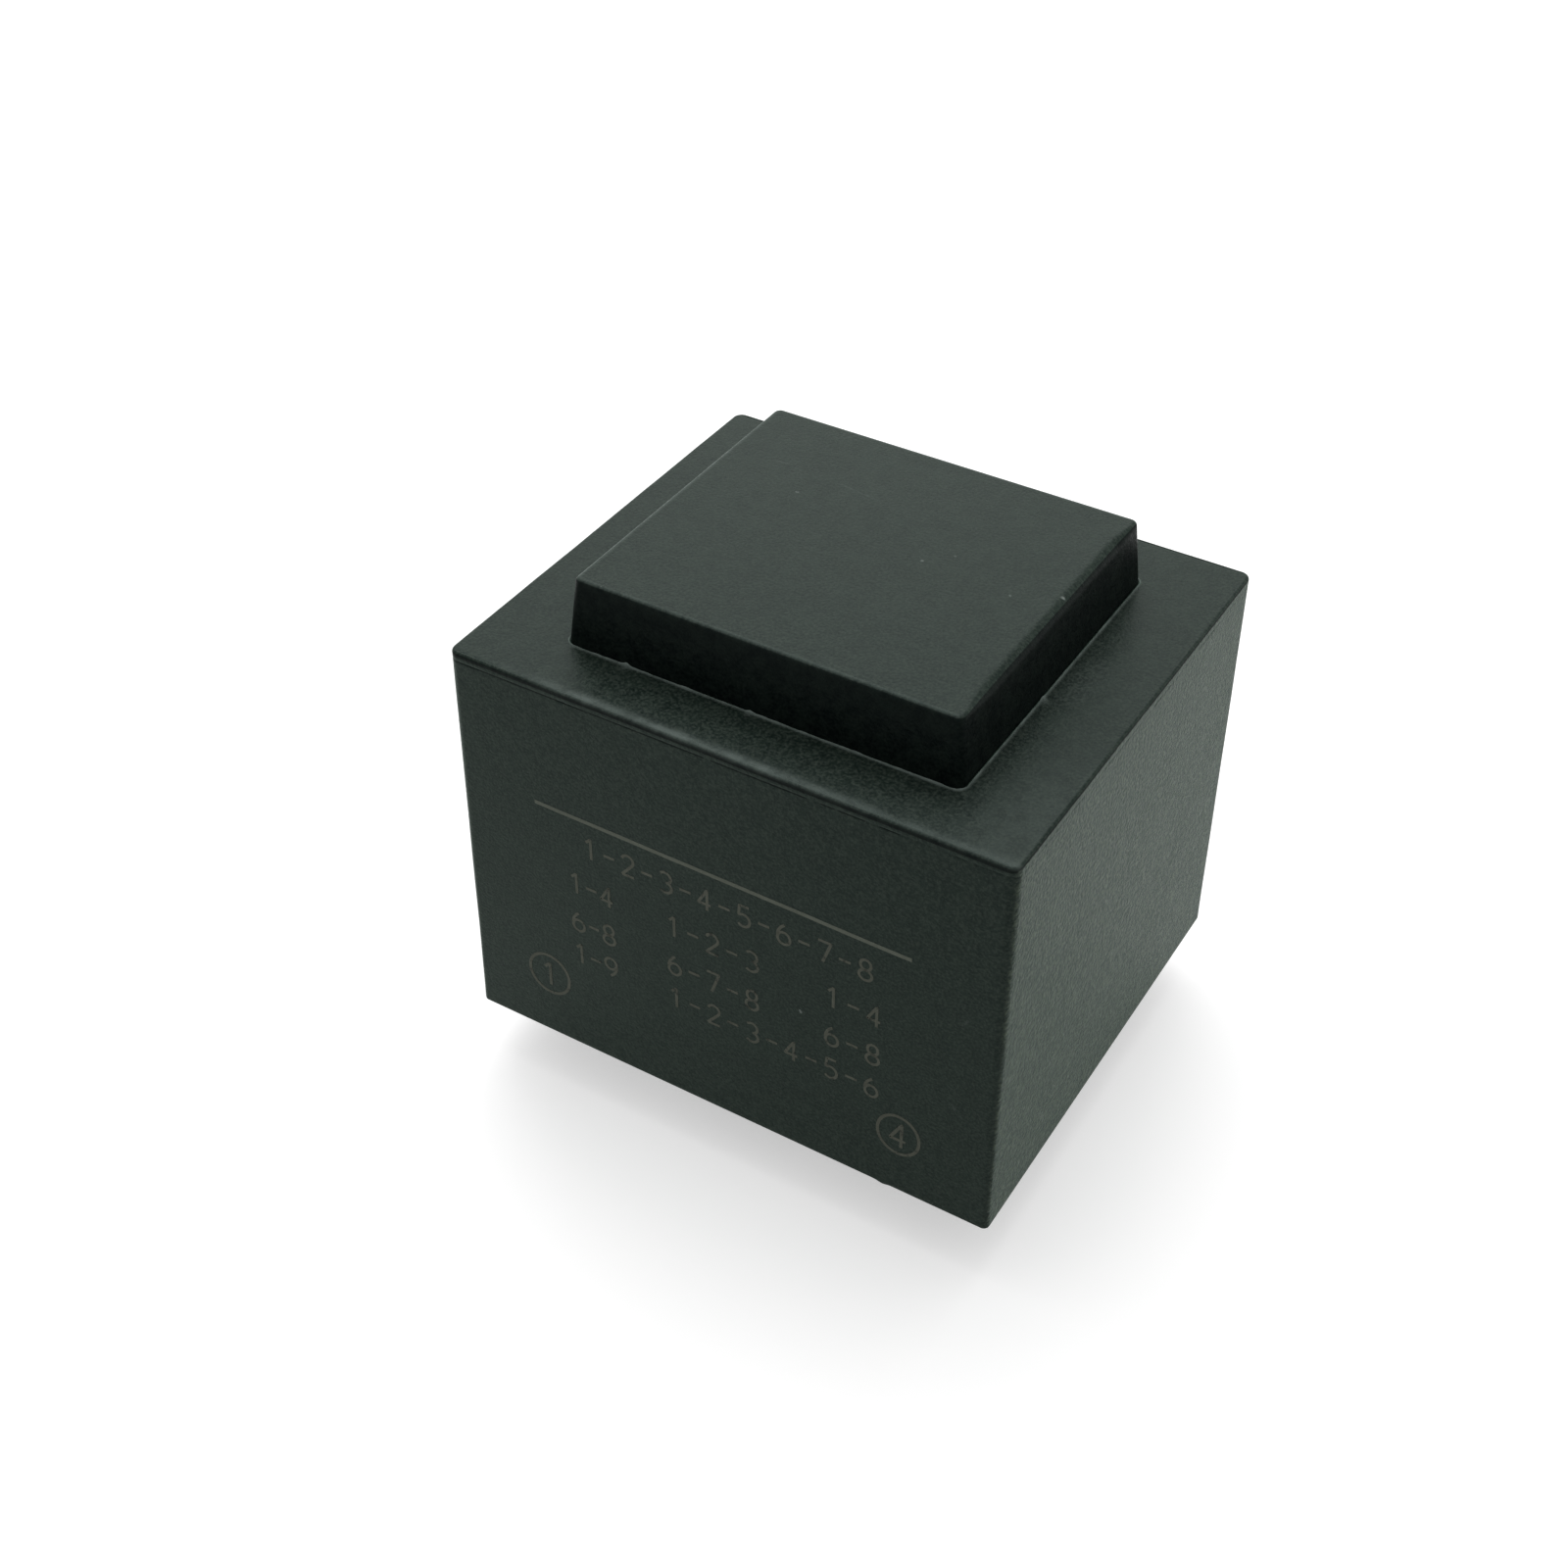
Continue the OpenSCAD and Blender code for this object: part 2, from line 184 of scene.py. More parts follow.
def skin(grid, poles=None, looped=False):
    """Points and faces of a surface on a grid of rings.

    Quads join neighbouring rows and columns, and the columns close on themselves. The last row joins
    the first where it is looped, and otherwise each end ring closes in a fan round its pole.
    """
    rows, columns = grid.shape[:2]
    index = np.arange(rows * columns).reshape(rows, columns)
    lower = index if looped else index[:-1]
    upper = np.roll(index, -1, 0) if looped else index[1:]
    quads = np.stack([lower, np.roll(lower, -1, 1), np.roll(upper, -1, 1), upper], -1)
    faces = quads.reshape(-1, 4).tolist()
    points = grid.reshape(-1, 3)
    if poles is not None:
        first, last = index[-1, -1] + 1, index[-1, -1] + 2
        ahead = np.roll(index, -1, 1)
        faces += np.stack([np.full(columns, first), ahead[0], index[0]], 1).tolist()
        faces += np.stack([np.full(columns, last), index[-1], ahead[-1]], 1).tolist()
        points = np.vstack([points, poles])
    return points, faces


def joined(parts):
    """Points and faces of several surfaces as one."""
    points, faces, offset = [], [], 0
    for part_points, part_faces in parts:
        points.append(part_points)
        faces += [[corner + offset for corner in face] for face in part_faces]
        offset += len(part_points)
    return np.vstack(points), faces


def bell(distance, width):
    """One at no distance, falling off as a Gaussian of that width."""
    return np.exp(-((distance / width) ** 2))


def ease(value, low, high):
    """None below the low end, one above the high end, and a smooth rise between them."""
    share = np.clip((value - low) / (high - low), 0, 1)
    return share * share * (3 - 2 * share)


RIPPLE_SHARES = (1.0, 0.53, 0.31, 0.17)  # length of each sine as a share of the longest
RIPPLE_PEAK = 2.2  # about the highest that the four sines add up to


def ripple(along, length, seed):
    """Smooth irregular wave between about -1 and 1: four sines of unrelated lengths, added up."""
    draw = np.random.default_rng(seed)
    total = np.zeros_like(along)
    for share in RIPPLE_SHARES:
        phase = draw.uniform(0, 2 * math.pi)
        total += math.sqrt(share) * np.sin(2 * math.pi * along / (length * share) + phase)
    return total / RIPPLE_PEAK


def distance_from(x, y, half, radius):
    """Distance from a rectangle with round corners: none on its outline and negative inside it."""
    over_x, over_y = np.abs(x) - half[0] + radius, np.abs(y) - half[1] + radius
    round_off = np.hypot(np.clip(over_x, 0, None), np.clip(over_y, 0, None))
    return round_off + np.minimum(np.maximum(over_x, over_y), 0) - radius


# -------------------- Node tools and shared effects --------------------


def feed(tree, node, inputs):
    """Gives a node's inputs, by name or number, a value or the socket that they take."""
    for name, value in inputs.items():
        if isinstance(value, bpy.types.NodeSocket):
            tree.links.new(value, node.inputs[name])
        else:
            node.inputs[name].default_value = value


def add(tree, kind, inputs=(), **settings):
    """Adds a node with those inputs and settings."""
    made = tree.nodes.new(kind)
    for name, value in settings.items():
        setattr(made, name, value)
    feed(tree, made, dict(inputs))
    return made


def math_node(tree, operation, *values, clamp=False):
    """Result of one sum on one to three values or sockets."""
    made = add(tree, "ShaderNodeMath", enumerate(values), operation=operation, use_clamp=clamp)
    return made.outputs[0]


def vector_node(tree, operation, *values, result=0):
    """Result of one vector sum on values or sockets."""
    made = add(tree, "ShaderNodeVectorMath", enumerate(values), operation=operation)
    return made.outputs[result]


def between(tree, value, low, high, to_low=0.0, to_high=1.0):
    """The value mapped from one range to another, smoothly and without leaving it."""
    names = {"Value": value, "From Min": low, "From Max": high, "To Min": to_low, "To Max": to_high}
    made = add(tree, "ShaderNodeMapRange", names, interpolation_type="SMOOTHSTEP")
    return made.outputs[0]


def blend(tree, share, first, second):
    """Mix of two colours."""
    inputs = {0: share, 6: first, 7: second}
    return add(tree, "ShaderNodeMix", inputs, data_type="RGBA").outputs[2]


def noise(tree, vector, scale, detail=2.0, rough=0.5):
    """Value of a noise at that many waves a metre."""
    names = {"Vector": vector, "Scale": scale, "Detail": detail, "Roughness": rough}
    return add(tree, "ShaderNodeTexNoise", names).outputs[0]


def stretch(tree, vector, *scale):
    """The vector scaled along X, Y and Z. What it drives is drawn out where the scale is low."""
    return add(tree, "ShaderNodeMapping", {"Vector": vector, "Scale": scale}).outputs[0]


def effect(name, vectors, numbers, results=("Mask",)):
    """New node group with those inputs and results. Returns it with the sockets of its two ends."""
    group = bpy.data.node_groups.new(name, "ShaderNodeTree")
    for socket in vectors:
        group.interface.new_socket(socket, in_out="INPUT", socket_type="NodeSocketVector")
    for socket in numbers:
        group.interface.new_socket(socket, in_out="INPUT", socket_type="NodeSocketFloat")
    for socket in results:
        group.interface.new_socket(socket, in_out="OUTPUT", socket_type="NodeSocketFloat")
    return group, group.nodes.new("NodeGroupInput").outputs, group.nodes.new("NodeGroupOutput").inputs


BROAD_SCALE = 0.22  # the broad noise's scale as a share of the fine one's
SOFT = 0.08  # how far to either side of its level patchy wear fades


def make_grain():
    """Spark-eroded grain: fine noise and broad noise of the given grain size."""
    group, given, out = effect("moulded_grain", ["Vector"], ["Size"], ["Height", "Mottle"])
    fine = math_node(group, "DIVIDE", 1.0, given["Size"])
    broad = math_node(group, "MULTIPLY", fine, BROAD_SCALE)
    group.links.new(noise(group, given["Vector"], fine, 3.0, 0.62), out["Height"])
    group.links.new(noise(group, given["Vector"], broad, 2.0, 0.55), out["Mottle"])
    return group


def make_specks():
    """Scattered specks: the middles of random cells, of which only a share is kept."""
    group, given, out = effect("scattered_specks", ["Vector"], ["Spacing", "Radius", "Share"])
    scale = math_node(group, "DIVIDE", 1.0, given["Spacing"])
    cells = add(group, "ShaderNodeTexVoronoi", {"Vector": given["Vector"], "Scale": scale})
    reach = math_node(group, "MULTIPLY", given["Radius"], scale)
    core = math_node(group, "MULTIPLY", reach, 0.6)
    dot = between(group, cells.outputs["Distance"], core, reach, 1.0, 0.0)
    draw = add(group, "ShaderNodeSeparateColor", {"Color": cells.outputs["Color"]})
    kept = math_node(group, "LESS_THAN", draw.outputs[0], given["Share"])
    group.links.new(math_node(group, "MULTIPLY", dot, kept), out["Mask"])
    return group


def make_mark():
    """A scratch or a spot: how near a point lies to the straight line between two places."""
    group, given, out = effect("surface_mark", ["Vector", "Start", "End"], ["Width"])
    way = vector_node(group, "SUBTRACT", given["End"], given["Start"])
    offset = vector_node(group, "SUBTRACT", given["Vector"], given["Start"])
    along = vector_node(group, "DOT_PRODUCT", offset, way, result=1)
    length = vector_node(group, "DOT_PRODUCT", way, way, result=1)
    share = math_node(group, "DIVIDE", along, length, clamp=True)
    nearest = add(group, "ShaderNodeVectorMath", {0: way, 3: share}, operation="SCALE").outputs[0]
    apart = vector_node(group, "DISTANCE", offset, nearest, result=1)
    core = math_node(group, "MULTIPLY", given["Width"], 0.3)
    group.links.new(between(group, apart, core, given["Width"], 1.0, 0.0), out["Mask"])
    return group


def make_wear():
    """Patchy loss: where a noise of the given patch size rises above a level."""
    group, given, out = effect("patchy_wear", ["Vector"], ["Size", "Level"])
    scale = math_node(group, "DIVIDE", 1.0, given["Size"])
    patches = noise(group, given["Vector"], scale, 4.0, 0.65)
    low = math_node(group, "SUBTRACT", given["Level"], SOFT)
    high = math_node(group, "ADD", given["Level"], SOFT)
    group.links.new(between(group, patches, low, high), out["Mask"])
    return group


GRAIN, SPECKS, MARK, WEAR = make_grain(), make_specks(), make_mark(), make_wear()


def use(tree, group, **inputs):
    """Outputs of a shared effect placed in a material with its own values."""
    made = tree.nodes.new("ShaderNodeGroup")
    made.node_tree = group
    feed(tree, made, inputs)
    return made.outputs


def specks(tree, place, spacing, radius, share):
    """Mask of specks that far apart and that large, of which a share is kept."""
    return use(tree, SPECKS, Vector=place, Spacing=spacing, Radius=radius, Share=share)["Mask"]


def attribute(tree, name):
    """Value of one of the mesh's attributes."""
    return add(tree, "ShaderNodeAttribute", attribute_name=name).outputs["Fac"]


def bump(tree, height, depth, below=None):
    """Normal of a bump of that height and depth in metres, laid on the one below."""
    made = add(tree, "ShaderNodeBump", {"Height": height, "Distance": depth, "Strength": 1.0})
    if below is not None:
        feed(tree, made, {"Normal": below})
    return made.outputs[0]


def finish(name, look, **values):
    """New material. The look gives its Principled shader's inputs, from the object's coordinates."""
    material = bpy.data.materials.new(name)
    material.use_nodes = True
    tree = material.node_tree
    shader = next(n for n in tree.nodes if n.type == "BSDF_PRINCIPLED")
    place = add(tree, "ShaderNodeTexCoord").outputs["Object"]
    feed(tree, shader, look(tree, place, **values))
    return material


# -------------------- Finishes --------------------

# Light specks and scuffs on the housing: start, end and half width in millimetres, and strength
LIGHT_MARKS = [
    ((-5.65, 2.92, 29.1), (-5.57, 2.95, 29.1), 0.1, 0.8),
    ((3.14, 0.63, 29.1), (3.2, 0.66, 29.1), 0.09, 0.9),
    ((4.39, 1.92, 29.1), (4.46, 1.9, 29.1), 0.08, 0.5),
    ((8.37, 0.24, 29.1), (8.43, 0.22, 29.1), 0.08, 0.5),
    ((-4.12, 4.81, 29.1), (-1.47, 4.48, 29.1), 0.1, 0.08),
    ((-8.15, 5.05, 29.1), (-7.44, 5.13, 29.1), 0.13, 0.08),
    ((10.7, 1.49, 29.06), (10.77, 1.48, 29.04), 0.13, 1.0),
    ((4.96, -14.14, 10.28), (4.98, -14.14, 10.2), 0.13, 1.0),
    ((14.45, -14.1, 14.57), (14.2, -14.1, 14.2), 0.12, 0.14),
    ((12.6, -0.9, 25.2), (12.9, 1.6, 25.2), 1.3, 0.05),
    ((14.0, -14.15, 8.3), (14.15, -14.15, 7.95), 0.12, 0.14),
]
DARK_MARKS = [((0.92, 2.93, 29.1), (1.05, 2.85, 29.1), 0.08)]

PLASTIC = (0.0050, 0.0080, 0.0068, 1)
PLASTIC_DARK = (0.0015, 0.0030, 0.0030, 1)
PLASTIC_LIGHT = (0.088, 0.102, 0.086, 1)
# Painted glint: pale colour in the end walls' pits, standing in for grazing light on their grain
PLASTIC_PIT_GLINT = (0.066, 0.079, 0.057, 1)
# Painted highlight colour, laid where light would catch the edges, the flash and the burrs
PLASTIC_HIGHLIGHT = (0.135, 0.16, 0.15, 1)
PLASTIC_TINT = (0.74, 1.0, 0.89, 1)
PLASTIC_SHEEN = (0.55, 1.0, 0.72, 1)
LIGHT_MARK = (0.17, 0.19, 0.18, 1)
DARK_MARK = (0.004, 0.004, 0.004, 1)
INK_THIN, INK_THICK = (0.070, 0.075, 0.058, 1), (0.112, 0.120, 0.096, 1)
RULE_THIN, RULE_THICK = (0.090, 0.101, 0.080, 1), (0.138, 0.155, 0.126, 1)
INK_LOST = (0.022, 0.025, 0.020, 1)

# Sizes of the grain and of the end walls' pits, and depths of the three reliefs
GRAIN_SIZE, PIT_SIZE = 0.17 * MM, 0.24 * MM
BROAD_DEPTH, GRAIN_DEPTH, PIT_DEPTH = 0.008 * MM, 0.026 * MM, 0.075 * MM


def plastic_colour(tree, grain, pits, flecks):
    """Colour of the plastic: mottled, with light flecks, pale pits where coarse as painted glints, and
    painted highlights.
    """
    tone = between(tree, grain["Mottle"], 0.35, 0.65)
    colour = blend(tree, tone, PLASTIC_DARK, PLASTIC)
    fleck = between(tree, grain["Height"], 0.4, 0.68, 0.0, flecks)
    colour = blend(tree, fleck, colour, PLASTIC_LIGHT)
    # Pits on the end walls: their relief is real bump, their pale colour is painted glint
    cloud = between(tree, pits["Mottle"], 0.3, 0.7, 0.4, 1.0)
    rough = math_node(tree, "MULTIPLY", between(tree, pits["Height"], 0.44, 0.6), cloud)
    rough = math_node(tree, "MULTIPLY", rough, attribute(tree, "coarse"))
    colour = blend(tree, rough, colour, PLASTIC_PIT_GLINT)
    # Painted highlights: the mesh's highlight value, broken up by the mottle, lightens the colour
    patches = between(tree, grain["Mottle"], 0.3, 0.55, 0.55, 1.0)
    painted_highlight = math_node(tree, "MULTIPLY", attribute(tree, "painted_highlight"), patches)
    return blend(tree, painted_highlight, colour, PLASTIC_HIGHLIGHT)


def mark_mask(tree, place, start, end, width):
    """Mask of one mark, given by its ends and half width in millimetres."""
    ends = {"Start": Vector(start) * MM, "End": Vector(end) * MM, "Width": width * MM}
    return use(tree, MARK, Vector=place, **ends)["Mask"]


def marked(tree, place, grain, colour):
    """The colour with dust and light marks, which the grain breaks up, and with dark marks."""
    light = math_node(tree, "MULTIPLY", specks(tree, place, 1.9 * MM, 0.05 * MM, 0.2), 0.3)
    for start, end, width, strength in LIGHT_MARKS:
        broken = between(tree, grain["Height"], 0.35, 0.6, 0.3 * strength, strength)
        mark = math_node(tree, "MULTIPLY", mark_mask(tree, place, start, end, width), broken)
        light = math_node(tree, "MAXIMUM", light, mark)
    colour = blend(tree, light, colour, LIGHT_MARK)
    for start, end, width in DARK_MARKS:
        colour = blend(tree, mark_mask(tree, place, start, end, width), colour, DARK_MARK)
    return colour


def plastic_look(tree, place, reflection, sheen, flecks):
    """Dark grey-green moulded plastic with grain, coarse pits on the end walls, painted highlights and
    marks.
    """
    grain = use(tree, GRAIN, Vector=place, Size=GRAIN_SIZE)
    pits = use(tree, GRAIN, Vector=place, Size=PIT_SIZE)
    broad = bump(tree, grain["Mottle"], BROAD_DEPTH)
    fine = bump(tree, grain["Height"], GRAIN_DEPTH, broad)
    relief = math_node(tree, "MULTIPLY", pits["Height"], attribute(tree, "coarse"))
    return {
        "Base Color": marked(tree, place, grain, plastic_colour(tree, grain, pits, flecks)),
        "Roughness": between(tree, grain["Height"], 0.3, 0.7, 0.27, 0.48),
        "Specular IOR Level": reflection,
        "Specular Tint": PLASTIC_TINT,
        "Sheen Weight": sheen,
        "Sheen Roughness": 0.5,
        "Sheen Tint": PLASTIC_SHEEN,
        "Normal": bump(tree, relief, PIT_DEPTH, fine),
    }


def ink_look(tree, place, level, thin, thick):
    """Worn print: olive ink from thin to thick, which has come off where a noise is above a level."""
    lost = use(tree, WEAR, Vector=place, Size=0.5 * MM, Level=level)["Mask"]
    grain = use(tree, GRAIN, Vector=place, Size=0.2 * MM)
    return {
        "Base Color": blend(tree, lost, blend(tree, grain["Mottle"], thin, thick), INK_LOST),
        "Roughness": 0.6,
        "Specular IOR Level": 0.1,
        "Normal": bump(tree, grain["Height"], 0.01 * MM),
    }


def resin_look(tree, place):
    """Black casting resin: level, glossy, with slow waves, tiny bubbles and dust."""
    black, brown, pale = (0.008, 0.0075, 0.007, 1), (0.016, 0.014, 0.012, 1), (0.12, 0.115, 0.1, 1)
    waves = noise(tree, place, 260.0, 1.0)
    bubbles = specks(tree, place, 1.3 * MM, 0.16 * MM, 0.2)
    dust = math_node(tree, "MULTIPLY", specks(tree, place, 0.9 * MM, 0.03 * MM, 0.25), 0.6)
    slow = bump(tree, waves, 0.05 * MM)
    return {
        "Base Color": blend(tree, dust, blend(tree, waves, black, brown), pale),
        "Roughness": between(tree, waves, 0.3, 0.7, 0.16, 0.26),
        "Normal": bump(tree, math_node(tree, "SUBTRACT", 1.0, bubbles), 0.05 * MM, slow),
    }


def patterned(tree, pattern, first, second, roughness, depth):
    """Colour, roughness and relief that follow one pattern."""
    return {
        "Base Color": blend(tree, pattern, first, second),
        "Roughness": between(tree, pattern, 0.3, 0.7, *roughness),
        "Normal": bump(tree, pattern, depth),
    }


def tinned_look(tree, place):
    """Hot-dipped tin on wire: bright, slightly clouded, with soft runs along the pin."""
    dull, bright = (0.42, 0.42, 0.41, 1), (0.72, 0.71, 0.68, 1)
    runs = noise(tree, stretch(tree, place, 1.0, 1.0, 0.25), 2600.0, 3.0, 0.6)
    return {"Metallic": 1.0, **patterned(tree, runs, dull, bright, (0.22, 0.4), 0.02 * MM)}


def solder_look(tree, place):
    """Solder: bright and rounded, with a frosted skin."""
    dull, bright = (0.4, 0.4, 0.4, 1), (0.66, 0.66, 0.65, 1)
    frost = noise(tree, place, 5200.0, 4.0, 0.7)
    return {"Metallic": 1.0, **patterned(tree, frost, dull, bright, (0.25, 0.45), 0.015 * MM)}


def steel_look(tree, place):
    """Cut edges of silicon steel sheet: grey, drawn upwards by the punch, and tarnished in patches."""
    dull, bright, brown = (0.20, 0.205, 0.21, 1), (0.42, 0.43, 0.44, 1), (0.16, 0.14, 0.12, 1)
    drawn = noise(tree, stretch(tree, place, 1.0, 1.0, 0.2), 6000.0, 3.0, 0.6)
    tarnish = use(tree, WEAR, Vector=place, Size=3 * MM, Level=0.55)["Mask"]
    tarnish = math_node(tree, "MULTIPLY", tarnish, 0.5)
    return {
        "Base Color": blend(tree, tarnish, blend(tree, drawn, dull, bright), brown),
        "Metallic": 0.9,
        "Roughness": between(tree, drawn, 0.3, 0.7, 0.35, 0.55),
        "Normal": bump(tree, drawn, 0.01 * MM),
    }


def winding_look(tree, place, turn):
    """Enamelled copper wire wound round the tube: one ridge a turn across the chamber, with painted shade
    in the troughs between turns.
    """
    dark, light, gap = (0.36, 0.11, 0.035, 1), (0.62, 0.23, 0.085, 1), (0.08, 0.02, 0.01, 1)
    wave = {"Vector": place, "Scale": 1.0 / turn * 0.05, "Distortion": 0.4, "Detail": 1.0}
    turns = add(tree, "ShaderNodeTexWave", wave, bands_direction="Y", wave_profile="SIN").outputs[1]
    tone = noise(tree, place, 900.0, 2.0)
    return {
        # Painted shade: the troughs between the turns are darkened to the gap colour
        "Base Color": blend(tree, between(tree, turns, 0.25, 0.0), blend(tree, tone, dark, light), gap),
        "Metallic": 0.85,
        "Roughness": between(tree, tone, 0.3, 0.7, 0.22, 0.36),
        "Coat Weight": 0.6,
        "Normal": bump(tree, turns, 0.06 * MM),
    }


def tape_look(tree, place):
    """Yellow polyester tape: glossy film with faint wrinkles."""
    dark, light = (0.44, 0.25, 0.03, 1), (0.66, 0.44, 0.08, 1)
    wrinkle = noise(tree, stretch(tree, place, 1.0, 3.0, 1.0), 420.0, 3.0)
    return patterned(tree, wrinkle, dark, light, (0.18, 0.32), 0.05 * MM)


def nylon_look(tree, place):
    """Black glass-filled nylon: matt, with short pale fibres under the skin."""
    black, grey, pale = (0.010, 0.010, 0.011, 1), (0.022, 0.022, 0.024, 1), (0.08, 0.08, 0.075, 1)
    grain = use(tree, GRAIN, Vector=place, Size=0.25 * MM)
    fibres = specks(tree, stretch(tree, place, 1.0, 0.2, 1.0), 0.35 * MM, 0.04 * MM, 0.4)
    fibres = math_node(tree, "MULTIPLY", fibres, 0.4)
    return {
        "Base Color": blend(tree, fibres, blend(tree, grain["Mottle"], black, grey), pale),
        "Roughness": between(tree, grain["Height"], 0.3, 0.7, 0.42, 0.6),
        "Normal": bump(tree, grain["Height"], 0.01 * MM),
    }


PLASTIC_FINISH = finish("housing_plastic", plastic_look, reflection=0.1, sheen=0.14, flecks=0.22)
# Painted shade: a less reflective copy of the housing plastic, without sheen and with fewer flecks, for
# the block's walls, the strips under the edges and the witness line, so that they look dark
PAINTED_SHADE_FINISH = finish("housing_plastic_painted_shade", plastic_look, reflection=0.05, sheen=0.0, flecks=0.04)
INK = finish("worn_print_ink", ink_look, level=0.62, thin=INK_THIN, thick=INK_THICK)
RULE_INK = finish("print_ink", ink_look, level=0.74, thin=RULE_THIN, thick=RULE_THICK)
RESIN = finish("potting_resin", resin_look)
TIN = finish("tinned_pin", tinned_look)
SOLDER = finish("solder", solder_look)
STEEL = finish("lamination_steel", steel_look)
TAPE = finish("insulating_tape", tape_look)
NYLON = finish("former_plastic", nylon_look)
FINE_WIRE = finish("fine_copper_wire", winding_look, turn=0.2 * MM)
THICK_WIRE = finish("copper_wire", winding_look, turn=0.4 * MM)

NODE_FINISHES = (
    (RESIN, "potting_resin"),
    (STEEL, "e_laminations i_laminations"),
    (NYLON, "coil_former"),
    (TAPE, "primary_tape secondary_tape"),
    (FINE_WIRE, "primary_winding lead_1 lead_4"),
    (THICK_WIRE, "secondary_winding lead_6 lead_8"),
    (SOLDER, "solder_1 solder_4 solder_6 solder_8"),
)
for material, nodes in NODE_FINISHES:
    for node in nodes.split():
        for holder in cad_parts[node].material_slots:
            holder.material = material

# -------------------- Housing --------------------

SMALL = 0.02 * MM
RIM_CHAMFER = 0.006 * MM
# Ribs inside: half width, and places along X and Y
RIB_HALF, RIB_X, RIB_Y = 0.6 * MM, 9 * MM, 7 * MM
SHOWN_EDGE = 0.17 * MM  # the body's top edge
BLUNT_EDGE = 0.62 * MM  # the block's edge along the middle of its +X side
BLUNT_START, BLUNT_FULL = 0.3 * MM, 3 * MM  # how far from that side's ends it starts and is full
EDGE_STEPS = 8

# Flash round the block's foot: distance from the foot, width and height
FLASH_PLACE, FLASH_WIDTH, FLASH_HEIGHT = 0.075 * MM, 0.045 * MM, 0.1 * MM
# Witness line of the mould below the body's top edge
WITNESS_DEPTH, WITNESS_WIDTH = 0.03 * MM, 0.05 * MM
WITNESS_Z = LEDGE_Z - 0.52 * MM
# Painted highlight along the ledge's front edge: distance from the edge, width and strength
BAND_PLACE, BAND_WIDTH, BAND_STRENGTH = 0.32 * MM, 0.28 * MM, 0.55
# Burrs on the flash and nicks in the ledge's front edge: X, Y, width and height in millimetres
BURRS = [(-7.68, -10.36, 0.22, 0.16), (-0.29, -10.4, 0.18, 0.1), (11.6, -1.9, 0.2, 0.12)]
NICKS = [(1.5, -13.74, 0.2, -0.09), (3.02, -13.66, 0.16, -0.07), (-9.2, -13.85, 0.14, -0.04)]
# Burr that hangs from the rim on the front: X, width and drop in millimetres
RIM_BURR = (10.2, 0.3, 0.11)
# Heights of the waves left by shrinkage, and how far the ledge sags at its long edges
WALL_WAVE, LEDGE_WAVE, TOP_WAVE = 0.012 * MM, 0.006 * MM, 0.010 * MM
WAVE_FADE = 2 * MM  # the waves fade out over this distance towards the rim and the block's edge
SAG, SAG_WIDTH = 0.05 * MM, 0.22 * MM

WALK = square_walk(208, 176, 12)
OUTWARDS = WALK[1]
FACES_FRONT = OUTWARDS[:, 1] < -0.7


def outer_rows():
    """Rows of the outside, from the rim up: body wall, top edge, ledge, block wall, edge and top."""
    foot = [*RIM, BODY_FOOT_CORNER, 0]
    head = [*BODY_TOP, BODY_CORNER, LEDGE_Z - SHOWN_EDGE]
    height = head[3]
    low = np.array([0.06, 0.14, 0.3, 0.6, 1.2]) * MM / height
    middle = np.linspace(0.12, 0.9, 8)
    fine = 1 - np.linspace(1.1, 0.0, 20) * MM / height
    wall = run(foot, head, np.concatenate([low, middle, fine]))
    wall[0, :3] -= RIM_CHAMFER
    edge = round_over(head, SHOWN_EDGE, EDGE_STEPS)
    inner = [*BLOCK_FOOT, BLOCK_FOOT_CORNER, LEDGE_Z]
    gap = (edge[-1, 0] - BLOCK_FOOT[0]) / MM
    near = np.array([0.55, 0.36, 0.24, 0.17, 0.13, 0.1, 0.075, 0.05, 0.025]) / gap
    shares = [0.012, 0.024, 0.04, 0.06, 0.08, 0.11, 0.15, 0.2, 0.3, 0.42, 0.55, 0.68, 0.8]
    ledge = run(edge[-1], inner, np.concatenate([shares, 1 - near]))
    top = [*BLOCK_TOP, BLOCK_CORNER, TOP_Z - BLOCK_EDGE]
    block = run(inner, top, [0.0, 0.01, 0.04, 0.2, 0.5, 0.8, 0.95, 1.0])
    block_edge = round_over(top, BLOCK_EDGE, EDGE_STEPS)
    ending = [SMALL, SMALL, SMALL / 2, TOP_Z]
    cap = run(block_edge[-1], ending, [0.01, 0.03, 0.1, 0.22, 0.4, 0.6, 0.8, 1.0])
    return [wall, edge, ledge, block, block_edge, cap]


def inner_rows():
    """Rows of the inside, from the underside of the block's top down to the rim."""
    grow = (HOLLOW_TOP - HOLLOW_FOOT) / (UNDER_LEDGE_Z - RESIN_Z)
    rim = [*(HOLLOW_FOOT - grow * RESIN_Z), INNER_CORNER, 0]
    under_ledge = [*HOLLOW_TOP, INNER_CORNER, UNDER_LEDGE_Z]
    block_foot = [*(BLOCK_FOOT - WALL), INNER_CORNER, UNDER_LEDGE_Z]
    under_top = [*BLOCK_HOLLOW, INNER_CORNER, UNDER_TOP_Z]
    start = [SMALL, SMALL, SMALL / 2, UNDER_TOP_Z]
    roof = run(start, under_top, [0, 0.5, 0.99])
    block = run(under_top, block_foot, [0.0, 0.5, 0.99])
    ledge = run(block_foot, under_ledge, [0.01, 0.5, 0.99])
    stack = (UNDER_LEDGE_Z - STACK_Z) / UNDER_LEDGE_Z
    wall = run(under_ledge, rim, [0.005, 0.4, stack - 0.001, stack + 0.001, 0.9, 0.97, 0.995])
    return [roof, block, ledge, wall]


